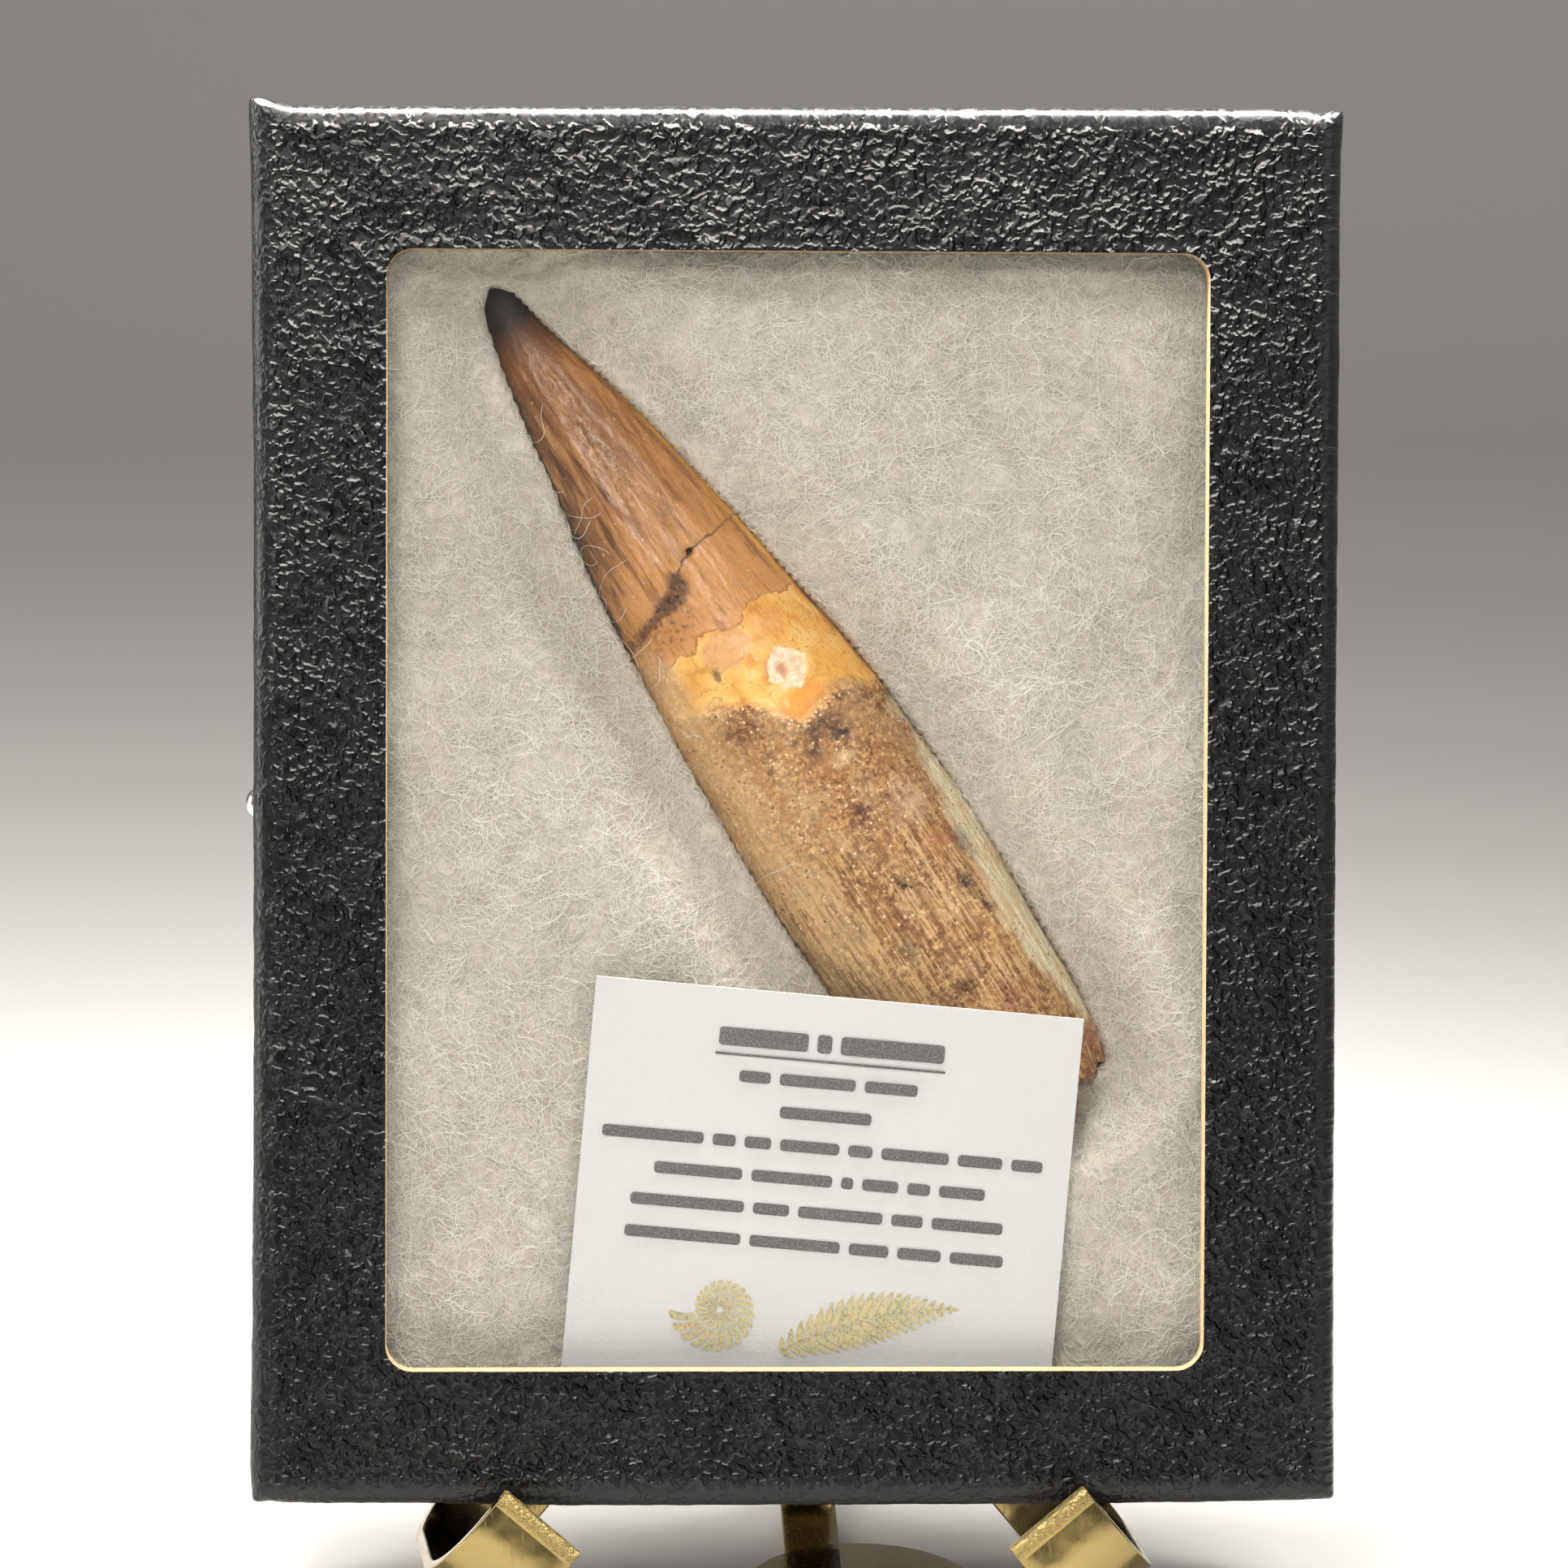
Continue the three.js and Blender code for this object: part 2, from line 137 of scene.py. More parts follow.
# Easel.
STRIP = 1.1
ARM_WIDTH = 8.0
ARM_ANGLE = math.radians(50)
ARM_SPLAY = 2.0
ARM_OVERRUN = 5.0
ARM_BEND = 6.5
LIP_CORNER = Vector((-23.7, 1.3, 0))
LIP_RISE = 9.5
RIVET_HEAD = 2.1
RIVET_HEAD_HEIGHT = 0.6
LEG_WIDTH = 5.0
LEG_BEND = 2.6
LEG_BACK = 39.5
LEG_SHIFT = 2.6
LEG_TAB_ABOVE = 4.5
LEG_TAB_BELOW = 7.0
FOOT_RADIUS = 10.0
FOOT_CENTRE = Vector((6.4, 16.0, 0))

# How the strip is drawn: steps in a bend, millimetres between rows, and its softened edges and ends.
BEND_STEPS = 22
STRIP_PACE = 1.6
STRIP_ROUND = 0.16
END_ROUND = 0.12
END_SMALLER = 0.14

# Where the case's face lies in the part's frame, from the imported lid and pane.
lid_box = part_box("lid")
glass_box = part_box("glass")
SIN, COS = math.sin(LEAN), math.cos(LEAN)
FACE_ORIGIN = Vector(
    (
        (lid_box[0].x + lid_box[1].x) / 2,
        glass_box[0].y - 1.5 * (SIN + COS) * MM,
        glass_box[0].z - (1.5 * COS - 3.1 * SIN) * MM,
    )
)
FACE = Matrix.Translation(FACE_ORIGIN) @ Matrix.Rotation(math.pi / 2 - LEAN, 4, "X") @ Matrix.Scale(MM, 4)
TOOTH_PLACE = FACE @ Matrix.Translation((*TOOTH_TIP, TOOTH_DEPTH)) @ Matrix.Rotation(TOOTH_TURN, 4, "Z")
CARD_PLACE = FACE @ Matrix.Translation(CARD_CORNER) @ Matrix.Rotation(CARD_TURN, 4, "Z")
# The standing pieces' own origin: the CAD's parts were centred together after they were placed.
STAND_ORIGIN = Vector((FACE_ORIGIN.x, FACE_ORIGIN.y, 0))
STAND = Matrix.Translation(STAND_ORIGIN) @ Matrix.Scale(MM, 4)


# ---- shapes ----


def smoothstep(low, high, x):
    x = min(max((x - low) / (high - low), 0.0), 1.0)
    return x * x * (3 - 2 * x)


def bell(x, width):
    return math.exp(-((x / width) ** 2))


def lerp(a, b, share):
    return a + (b - a) * share


def reading(rows, x, column=1):
    """A smooth curve through a table's rows."""
    if x <= rows[0][0]:
        return rows[0][column]
    if x >= rows[-1][0]:
        return rows[-1][column]
    i = next(k for k in range(len(rows) - 1) if x <= rows[k + 1][0])
    before, a, b, after = rows[max(i - 1, 0)], rows[i], rows[i + 1], rows[min(i + 2, len(rows) - 1)]
    span = b[0] - a[0]
    rise_a = (b[column] - before[column]) / (b[0] - before[0])
    rise_b = (after[column] - a[column]) / (after[0] - a[0])
    f = (x - a[0]) / span
    return (
        (2 * f**3 - 3 * f**2 + 1) * a[column]
        + (f**3 - 2 * f**2 + f) * span * rise_a
        + (3 * f**2 - 2 * f**3) * b[column]
        + (f**3 - f**2) * span * rise_b
    )


def ruffle(x, y, z, scale):
    """Soft noise from -1 to 1."""
    return noise.noise(Vector((x * scale, y * scale, z * scale)))


def sheet_of(columns, rows, place):
    """A grid whose corner (column, row) lies where place(column, row) says. Edges that meet are joined."""
    bm = bmesh.new()
    bmesh.ops.create_grid(bm, x_segments=columns, y_segments=rows, size=1)
    for vert in bm.verts:
        column = round((vert.co.x + 1) / 2 * columns)
        row = round((vert.co.y + 1) / 2 * rows)
        vert.co = place(column, row)
    bmesh.ops.remove_doubles(bm, verts=bm.verts, dist=1e-4)
    bmesh.ops.dissolve_degenerate(bm, dist=1e-5, edges=bm.edges)
    return bm


def close_and_face_out(bm):
    bmesh.ops.holes_fill(bm, edges=[e for e in bm.edges if e.is_boundary], sides=0)
    bmesh.ops.recalc_face_normals(bm, faces=bm.faces)


def turned(profile, steps):
    """A round piece spun about Z from a profile of (radius, height) points."""
    bm = bmesh.new()
    verts = [bm.verts.new((radius, 0, height)) for radius, height in profile]
    edges = [bm.edges.new(pair) for pair in zip(verts, verts[1:])]
    bmesh.ops.spin(
        bm, geom=verts + edges, cent=(0, 0, 0), axis=(0, 0, 1), angle=math.tau, steps=steps, use_merge=True
    )
    bmesh.ops.remove_doubles(bm, verts=bm.verts, dist=1e-5)
    bmesh.ops.recalc_face_normals(bm, faces=bm.faces)
    return bm


def soften(bm, edges, width, segments=2):
    bmesh.ops.bevel(
        bm,
        geom=edges,
        offset=width,
        affect="EDGES",
        segments=segments,
        profile=0.5,
        material=-1,
        clamp_overlap=True,
    )


def piece_from(bm, name, materials, place=FACE, nodes=(), smooth=True):
    """Makes a finished piece of the mesh: in place, smooth, dressed, and riding with the frame."""
    mesh = bpy.data.meshes.new(name)
    bm.to_mesh(mesh)
    bm.free()
    return dress(mesh, name, materials, place, nodes, smooth)


def dress(mesh, name, materials, place=FACE, nodes=(), smooth=True):
    mesh.transform(place)
    for material in materials:
        mesh.materials.append(material)
    if smooth:
        mesh.shade_smooth()
    piece = bpy.data.objects.new(name, mesh)
    bpy.context.scene.collection.objects.link(piece)
    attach(piece, "root")
    if nodes:
        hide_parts(*nodes)
    return piece


# ---- material nodes ----


def feed(tree, socket, value):
    if isinstance(value, bpy.types.NodeSocket):
        tree.links.new(value, socket)
    else:
        socket.default_value = value


def add(tree, kind, inputs=(), **settings):
    node = tree.nodes.new(kind)
    for name, value in settings.items():
        setattr(node, name, value)
    for key, value in inputs:
        feed(tree, node.inputs[key], value)
    return node


def calc(tree, operation, *values):
    return add(tree, "ShaderNodeMath", enumerate(values), operation=operation).outputs[0]


def plus(tree, first, second):
    return calc(tree, "ADD", first, second)


def minus(tree, first, second):
    return calc(tree, "SUBTRACT", first, second)


def times(tree, first, second):
    return calc(tree, "MULTIPLY", first, second)


def ratio(tree, first, second):
    return calc(tree, "DIVIDE", first, second)


def larger(tree, first, second):
    return calc(tree, "MAXIMUM", first, second)


def smaller(tree, first, second):
    return calc(tree, "MINIMUM", first, second)


def unsigned(tree, value):
    return calc(tree, "ABSOLUTE", value)


def vector_calc(tree, operation, *values, out="Vector"):
    return add(tree, "ShaderNodeVectorMath", enumerate(values), operation=operation).outputs[out]


def cloud(tree, vector, scale, detail=3.0, roughness=0.55, distortion=0.0, out=0, flat=False):
    pairs = (
        ("Vector", vector),
        ("Scale", scale),
        ("Detail", detail),
        ("Roughness", roughness),
        ("Distortion", distortion),
    )
    return add(tree, "ShaderNodeTexNoise", pairs, noise_dimensions="2D" if flat else "3D").outputs[out]


def cells(tree, vector, scale, feature="F1", out="Distance", randomness=1.0, flat=False):
    pairs = (("Vector", vector), ("Scale", scale), ("Randomness", randomness))
    dimensions = "2D" if flat else "3D"
    return add(
        tree, "ShaderNodeTexVoronoi", pairs, feature=feature, voronoi_dimensions=dimensions
    ).outputs[out]


def grey(level):
    return (level, level, level, 1.0)


def ease(tree, value, low, high, at_low=0.0, at_high=1.0):
    pairs = enumerate((value, low, high, at_low, at_high))
    return add(tree, "ShaderNodeMapRange", pairs, interpolation_type="SMOOTHSTEP").outputs[0]


def tint(tree, share, first, second, how="MIX"):
    pairs = ((0, share), (6, first), (7, second))
    return add(tree, "ShaderNodeMix", pairs, data_type="RGBA", blend_type=how).outputs[2]


def shades(tree, value, stops):
    node = add(tree, "ShaderNodeValToRGB", ((0, value),))
    ramp = node.color_ramp
    while len(ramp.elements) < len(stops):
        ramp.elements.new(0.5)
    for element, (position, colour) in zip(ramp.elements, stops):
        element.position = position
        element.color = rgb(*colour) if len(colour) == 3 else colour
    return node.outputs[0]


def split(tree, vector):
    return add(tree, "ShaderNodeSeparateXYZ", ((0, vector),)).outputs


def join(tree, x, y, z):
    return add(tree, "ShaderNodeCombineXYZ", enumerate((x, y, z))).outputs[0]


def stretch(tree, vector, scale):
    return vector_calc(tree, "MULTIPLY", vector, scale)


def own_millimetres(tree, place):
    """The point on a piece in the millimetres that it was modelled in."""
    spot, turn, size = place.decompose()
    pairs = (
        ("Vector", tree.nodes.new("ShaderNodeTexCoord").outputs["Object"]),
        ("Location", spot),
        ("Rotation", turn.to_euler()),
        ("Scale", size),
    )
    return add(tree, "ShaderNodeMapping", pairs, vector_type="TEXTURE").outputs[0]


def shaken(tree, vector, scale, reach, detail=1.0, flat=False):
    """The point moved about by noise, so that a pattern's borders wander."""
    colour = cloud(tree, vector, scale, detail, out=1, flat=flat)
    centred = vector_calc(tree, "SUBTRACT", colour, (0.5, 0.5, 0.5))
    moved = vector_calc(tree, "MULTIPLY", centred, (2 * reach,) * 3)
    return vector_calc(tree, "ADD", vector, moved)


def spot(tree, vector, centre, reach, inner=0.6):
    """1 inside an ellipse across the surface, falling to 0 at its rim."""
    flat = vector_calc(
        tree, "MULTIPLY", vector_calc(tree, "SUBTRACT", vector, (*centre, 0)), (1 / reach[0], 1 / reach[1], 0)
    )
    length = vector_calc(tree, "LENGTH", flat, out="Value")
    return ease(tree, length, inner, 1.0, 1.0, 0.0)


def bumped(tree, height, strength=1.0, normal=None):
    pairs = [("Strength", strength), ("Distance", MM), ("Height", height)]
    if normal is not None:
        pairs.append(("Normal", normal))
    return add(tree, "ShaderNodeBump", pairs).outputs[0]


def rgb(red, green, blue):
    """A colour as seen on a screen, 0 to 255, turned to the linear values that nodes take."""
    linear = [
        (c / 255 / 12.92) if c <= 10 else ((c / 255 + 0.055) / 1.055) ** 2.4 for c in (red, green, blue)
    ]
    return (*linear, 1.0)


def material(name, **values):
    made = bpy.data.materials.new(name)
    made.use_nodes = True
    surface = made.node_tree.nodes["Principled BSDF"]
    for key, value in values.items():
        surface.inputs[key.replace("_", " ")].default_value = value
    return made, made.node_tree, surface


def over(tree, base, *layers):
    """The base with colours laid over it, each where its mask is: (mask, strength, red, green and blue)."""
    for mask, strength, colour in layers:
        laid = rgb(*colour) if isinstance(colour, tuple) else colour
        base = tint(tree, times(tree, mask, strength), base, laid)
    return base


def hairline(tree, vector, scale, width, detail=2.0):
    """Thin wandering lines: where soft noise crosses its middle."""
    from_middle = unsigned(tree, minus(tree, cloud(tree, vector, scale, detail), 0.5))
    return ease(tree, from_middle, 0.0, width, 1.0, 0.0)


def reading_nodes(tree, value, rows):
    """The table's curve as a ramp of greys, turned back to its own units."""
    low, high = rows[0][0], rows[-1][0]
    least = min(row[1] for row in rows)
    most = max(row[1] for row in rows)
    stops = []
    for place, level in rows:
        stops.append(((place - low) / (high - low), grey((level - least) / (most - least))))
    share = ratio(tree, minus(tree, value, low), high - low)
    return plus(tree, times(tree, shades(tree, share, stops), most - least), least)


def effect(name, inputs, outputs):
    """A new node group with named inputs (name, default) and outputs (name, kind)."""
    group = bpy.data.node_groups.new(name, "ShaderNodeTree")
    for label, default in inputs:
        kind = "NodeSocketVector" if default is None else "NodeSocketFloat"
        socket = group.interface.new_socket(label, in_out="INPUT", socket_type=kind)
        if default is not None:
            socket.default_value = default
    for label, kind in outputs:
        group.interface.new_socket(label, in_out="OUTPUT", socket_type=kind)
    return group, group.nodes.new("NodeGroupInput").outputs, group.nodes.new("NodeGroupOutput").inputs


def use_effect(tree, group, inputs):
    node = tree.nodes.new("ShaderNodeGroup")
    node.node_tree = group
    for key, value in inputs:
        feed(tree, node.inputs[key], value)
    return node.outputs


def pressed_grain():
    """Leather grain pressed into paper: pebbles with pits between, in clusters round smoother islands."""
    if "pressed grain" in bpy.data.node_groups:
        return bpy.data.node_groups["pressed grain"]
    group, given, out = effect(
        "pressed grain",
        (("Point", None), ("Pebble", 1.0), ("Depth", 0.5)),
        (("Height", "NodeSocketFloat"), ("Valley", "NodeSocketFloat")),
    )
    point = shaken(group, given["Point"], 0.7, 0.35, flat=True)
    size = add(
        group, "ShaderNodeVectorMath", ((0, point), ("Scale", given["Pebble"])), operation="SCALE"
    ).outputs[0]
    pebble = ease(
        group, cloud(group, stretch(group, size, (1.2, 1.15, 1.0)), 1.0, 1, 0.4, flat=True), 0.36, 0.66
    )
    cluster = ease(group, cloud(group, given["Point"], 0.24, 1, flat=True), 0.4, 0.56)
    height = times(group, pebble, plus(group, 0.35, times(group, cluster, 0.65)))
    group.links.new(times(group, height, given["Depth"]), out["Height"])
    group.links.new(minus(group, 1.0, pebble), out["Valley"])
    return group


def fine_speckle():
    """Specks and faint clouding, as on paper, card and metal that has been handled."""
    if "fine speckle" in bpy.data.node_groups:
        return bpy.data.node_groups["fine speckle"]
    group, given, out = effect(
        "fine speckle",
        (("Point", None), ("Scale", 4.0)),
        (("Cloud", "NodeSocketFloat"), ("Specks", "NodeSocketFloat")),
    )
    soft = add(group, "ShaderNodeTexNoise", (("Vector", given["Point"]), ("Scale", 0.12), ("Detail", 4.0)))
    fine = add(
        group, "ShaderNodeTexNoise", (("Vector", given["Point"]), ("Scale", given["Scale"]), ("Detail", 3.0))
    )
    group.links.new(soft.outputs[0], out["Cloud"])
    group.links.new(ease(group, fine.outputs[0], 0.35, 0.7), out["Specks"])
    return group


# ---- lid, tray, glass ----

SIDE_STEPS = 312
TOP_STEPS = 244
CORNER_STEPS = 10
FRONT_ROWS = 32
ROUND_ROWS = 7
WALL_ROWS = 24


def rounded_outline(half_width, half_height, radius):
    """Points once round a rounded rectangle, each with the way out.

    Every size gives as many, in the same order.
    """
    points = []
    corners = ((1, -1, -90), (1, 1, 0), (-1, 1, 90), (-1, -1, 180))
    for number, (right, up, start) in enumerate(corners):
        centre = Vector((right * (half_width - radius), up * (half_height - radius)))
        for k in range(CORNER_STEPS):
            angle = math.radians(start + 90 * k / CORNER_STEPS)
            out = Vector((math.cos(angle), math.sin(angle)))
            points.append((centre + radius * out, out))
        angle = math.radians(start + 90)
        out = Vector((math.cos(angle), math.sin(angle)))
        other = corners[(number + 1) % 4]
        begin = centre + radius * out
        end = Vector((other[0] * (half_width - radius), other[1] * (half_height - radius))) + radius * out
        steps = (SIDE_STEPS, TOP_STEPS)[number % 2]
        points += [(begin.lerp(end, k / steps), out) for k in range(steps)]
    return points


# How far the wrapped edge stands outside the plain box, by the place along it: it's near straight,
# with pointed ears.
LEFT_EDGE = ((0, 0.1), (3, 0.27), (17, 0.13), (40, 0.0), (80, 0.0), (97, 0.13), (110, 0.27), (114.3, 0.42))
RIGHT_EDGE = ((0, 0.3), (3, 0.28), (17, 0.14), (57, 0.04), (97, -0.05), (110, 0.08), (114.3, 0.28))
TOP_EDGE = (
    (-44.45, 0.8), (-43.6, 0.62), (-42.6, 0.3), (-41.2, 0.05), (-32, -0.02), (-18, -0.1),
    (0, -0.16), (16, -0.24), (32, -0.31), (41.5, -0.26), (43.2, 0.1), (44.45, 0.32),
)
BOTTOM_EDGE = (
    (-44.45, 0.12), (-43.2, 0.02), (-41.3, -0.15), (-32, -0.2), (-18, -0.42),
    (16, -0.38), (32, -0.27), (41.5, -0.1), (44.45, 0.02),
)


def wrapped_edge(point, out):
    """How far the wrapped edge stands out there, to the side and up."""
    side = reading(RIGHT_EDGE if out.x > 0 else LEFT_EDGE, point.y + CASE_MIDDLE)
    end = reading(TOP_EDGE if out.y > 0 else BOTTOM_EDGE, point.x)
    across = math.copysign(side * min(1, 1.5 * abs(out.x)), out.x)
    return Vector((across, math.copysign(end * min(1, 1.5 * abs(out.y)), out.y)))


def grain_relief(u, v):
    """The larger lumps of the pressed paper, in millimetres: clusters of pebbles round smoother islands."""
    pebble = smoothstep(-0.25, 0.25, noise.noise(Vector((u * 1.15, v * 1.2, 3.0))))
    cluster = smoothstep(-0.12, 0.2, ruffle(u, v, 0, 0.24))
    lumps = 0.06 * ruffle(u, v, 5, 0.5) + 0.04 * ruffle(u, v, 5, 1.9)
    return 0.12 * pebble * (0.2 + 0.8 * cluster) + lumps - 0.12


def lid_mesh():
    """The lid as one closed skin: window, front, rounded edge, wall, rim, inside, and back to the window."""
    half_width, half_height = CASE_WIDTH / 2, CASE_HEIGHT / 2
    window = rounded_outline(WINDOW_WIDTH / 2, WINDOW_HEIGHT / 2, WINDOW_ROUND)
    window = [(point + Vector((0, WINDOW_MIDDLE - CASE_MIDDLE)), out) for point, out in window]
    brow = rounded_outline(half_width - EDGE_ROUND, half_height - EDGE_ROUND, 0.25)
    outer = rounded_outline(half_width, half_height, 0.45)
    inner = rounded_outline(half_width - BOARD, half_height - BOARD, 0.3)
    ears = [wrapped_edge(point, out) for point, out in outer]
    bared = [0.01 + 0.1 * max(out.x, -out.y, 0) for _, out in window]
    count = len(outer)
    rows = []

    def lay(points, w):
        rows.append([(point.x, point.y + CASE_MIDDLE, w) for point in points])

    for k in range(FRONT_ROWS + 1):
        share = k / FRONT_ROWS
        edge = min(smoothstep(0.0, 0.08, share), 1 - 0.75 * smoothstep(0.86, 1.0, share))
        row = []
        for i in range(count):
            begin = window[i][0] + window[i][1] * bared[i]
            flat = begin.lerp(brow[i][0] + 0.75 * ears[i], share)
            u, v = flat.x, flat.y + CASE_MIDDLE
            row.append((u, v, grain_relief(u, v) * edge - 0.02 * (1 - smoothstep(0, 0.05, share))))
        rows.append(row)
    for k in range(1, ROUND_ROWS + 1):
        angle = math.pi / 2 * k / ROUND_ROWS
        row = []
        for i in range(count):
            point, out = brow[i][0].lerp(outer[i][0], math.sin(angle)), brow[i][1]
            wave = 0.05 * ruffle(point.x, point.y, 0, 0.35) + 0.03 * ruffle(point.x, point.y, 4, 1.1)
            point = point + ears[i] * (0.75 + 0.25 * math.sin(angle)) + out * wave
            row.append((point.x, point.y + CASE_MIDDLE, -EDGE_ROUND + EDGE_ROUND * math.cos(angle) - 0.03))
        rows.append(row)
    for k in range(1, WALL_ROWS + 1):
        w = lerp(-EDGE_ROUND, -LID_DEPTH, k / WALL_ROWS)
        rough = smoothstep(0, 0.1, k / WALL_ROWS) * (1 - smoothstep(0.93, 1, k / WALL_ROWS))
        row = []
        for i in range(count):
            point, out = outer[i]
            lump = 0.06 * ruffle(point.x, point.y, w, 0.9) + 0.04 * ruffle(point.x, point.y, w, 2.3)
            point = point + ears[i] * (1 - 0.7 * k / WALL_ROWS) + out * (lump - 0.04) * rough
            row.append((point.x, point.y + CASE_MIDDLE, w))
        rows.append(row)
    lay([point + 0.3 * ear - out * 0.35 for (point, out), ear in zip(outer, ears)], -LID_DEPTH)
    lay([point for point, _ in inner], -LID_DEPTH + 0.15)
    lay([point for point, _ in inner], -(LID_DEPTH + BOARD) / 2)
    lay([point for point, _ in inner], -BOARD)
    cut = [point - out * (0.02 + 0.5 * lean) for (point, out), lean in zip(window, bared)]
    lay([a[0].lerp(b, 0.5) for a, b in zip(inner, cut)], -BOARD)
    lay(cut, -BOARD)
    lay([point - out * 0.5 * lean for (point, out), lean in zip(window, bared)], -0.7)
    lay([point - out * 0.5 * lean for (point, out), lean in zip(window, bared)], -0.2)
    last = len(rows)

    def place(column, row):
        return rows[row % last][column % count]

    bm = sheet_of(count, last, place)
    bmesh.ops.recalc_face_normals(bm, faces=bm.faces)
    edge = Vector((WINDOW_WIDTH / 2, WINDOW_HEIGHT / 2))
    for face in bm.faces:
        centre = face.calc_center_median()
        near = max(abs(centre.x) - edge.x, abs(centre.y - WINDOW_MIDDLE) - edge.y)
        if near < 0.12 and -BOARD - 0.01 < centre.z < -0.03 and abs(face.normal.z) < 0.9:
            face.material_index = 1
    return bm


# Paler than the black paper: the smooth band round the lid's outer edge is rubbed paper, with painted sheen
# of the rounded edge laid in its colour.
RUBBED_PAPER_AND_SHEEN = (0.014, 0.014, 0.0145, 1)


def leather_paper(colour, pebble):
    made, tree, surface = material("black leather paper", Specular_IOR_Level=0.26)
    point = own_millimetres(tree, FACE)
    u, v, w = split(tree, point)
    facing = tree.nodes.new("ShaderNodeTexCoord").outputs["Normal"]
    # The grain runs on round the edges: the depth is added to the side that the wall doesn't show.
    to_side = unsigned(tree, vector_calc(tree, "DOT_PRODUCT", facing, (1, 0, 0), out="Value"))
    to_end = unsigned(tree, vector_calc(tree, "DOT_PRODUCT", facing, (0, SIN, COS), out="Value"))
    flat = join(tree, plus(tree, u, times(tree, w, to_side)), plus(tree, v, times(tree, w, to_end)), 0)
    grain = use_effect(tree, pressed_grain(), (("Point", flat), ("Pebble", pebble), ("Depth", 0.5)))
    across = minus(tree, CASE_WIDTH / 2, unsigned(tree, u))
    upright = minus(tree, CASE_MIDDLE, unsigned(tree, minus(tree, v, CASE_MIDDLE)))
    from_edge = smaller(tree, across, upright)
    # The smooth band near the outer edge, rubbed and lightened with painted sheen.
    band = times(tree, ease(tree, from_edge, 1.2, 2.2, 1.0, 0.0), ease(tree, w, -2.4, -1.6))
    # Painted shade: the grain's valleys are laid darker than the pebble tops, as if shadowed.
    shaded_valley = tuple(c * 0.4 for c in colour)
    base = tint(tree, grain["Valley"], (*colour, 1), (*shaded_valley, 1))
    feed(tree, surface.inputs["Base Color"], tint(tree, times(tree, band, 0.6), base, RUBBED_PAPER_AND_SHEEN))
    feed(tree, surface.inputs["Roughness"], plus(tree, 0.24, times(tree, grain["Valley"], 0.16)))
    calm = minus(tree, 1.0, times(tree, band, 0.85))
    feed(tree, surface.inputs["Normal"], bumped(tree, times(tree, grain["Height"], calm)))
    return made


def raw_card():
    made, tree, surface = material("raw card edge", Roughness=0.85)
    point = own_millimetres(tree, FACE)
    speck = use_effect(tree, fine_speckle(), (("Point", point), ("Scale", 6.0)))
    layers = cloud(tree, stretch(tree, point, (0.6, 0.6, 9.0)), 1.0, 2)
    base = tint(tree, layers, rgb(206, 166, 116), rgb(232, 206, 166))
    base = over(tree, base, (speck["Specks"], 0.4, (150, 112, 76)))
    # Painted shade: the cut edge turns brown towards the window's top.
    base = over(tree, base, (ease(tree, split(tree, point)[1], 96, 102), 0.6, (104, 78, 56)))
    feed(tree, surface.inputs["Base Color"], base)
    feed(tree, surface.inputs["Normal"], bumped(tree, times(tree, speck["Specks"], 0.03)))
    return made


def clear_glass():
    made, tree, surface = material(
        "clear glass", Transmission_Weight=1.0, IOR=1.45, Base_Color=(0.985, 0.99, 0.985, 1)
    )
    point = own_millimetres(tree, FACE)
    smears = cloud(tree, point, 0.06, 4)
    feed(tree, surface.inputs["Roughness"], times(tree, ease(tree, smears, 0.5, 0.8), 0.05))
    clear = add(tree, "ShaderNodeBsdfTransparent", (("Color", (0.97, 0.98, 0.97, 1)),))
    path = tree.nodes.new("ShaderNodeLightPath")
    through = larger(tree, path.outputs["Is Shadow Ray"], path.outputs["Is Diffuse Ray"])
    pane = add(tree, "ShaderNodeMixShader", ((0, through), (1, surface.outputs[0]), (2, clear.outputs[0])))
    tree.links.new(pane.outputs[0], tree.nodes["Material Output"].inputs["Surface"])
    return made


def tray_mesh():
    bm = bmesh.new()
    bmesh.ops.create_cube(bm, size=1)
    bmesh.ops.scale(bm, verts=bm.verts, vec=(TRAY_WIDTH, TRAY_HEIGHT, CASE_DEPTH + TRAY_FRONT))
    bmesh.ops.translate(bm, verts=bm.verts, vec=(0, CASE_MIDDLE, (TRAY_FRONT - CASE_DEPTH) / 2))
    front = [f for f in bm.faces if f.normal.z > 0.9]
    outer = [e for e in bm.edges if front[0] not in e.link_faces]
    soften(bm, outer, 0.6, 4)
    front = [f for f in bm.faces if f.normal.z > 0.9 and f.calc_area() > 1000]
    bmesh.ops.inset_region(bm, faces=front, thickness=BOARD, use_even_offset=True)
    floor = bmesh.ops.extrude_discrete_faces(bm, faces=front)["faces"]
    bmesh.ops.translate(
        bm, verts=list({v for f in floor for v in f.verts}), vec=(0, 0, -CASE_DEPTH + BOARD - TRAY_FRONT)
    )
    back = [e for e in bm.edges if e.calc_length() > 20]
    bmesh.ops.subdivide_edges(bm, edges=back, cuts=15, use_grid_fill=True)
    for vert in bm.verts:
        if vert.co.z < -CASE_DEPTH + 0.2:
            inward = min(TRAY_WIDTH / 2 - abs(vert.co.x), TRAY_HEIGHT / 2 - abs(vert.co.y - CASE_MIDDLE))
            sunk = smoothstep(1, 12, inward)
            vert.co.z += 0.05 * ruffle(vert.co.x, vert.co.y, 1, 0.12) * sunk + 0.05 * sunk
    bmesh.ops.recalc_face_normals(bm, faces=bm.faces)
    return bm


# ---- tooth ----


def tooth_sides(along):
    """How far the tooth's middle line is off its axis, and its half width there."""
    right = reading(TOOTH_EDGES, along, 1)
    left = reading(TOOTH_EDGES, along, 2)
    blunt = math.sqrt(max(1 - (1 - min(along / 1.5, 1)) ** 2, 0))
    return (left - right) / 2, (left + right) / 2 * blunt


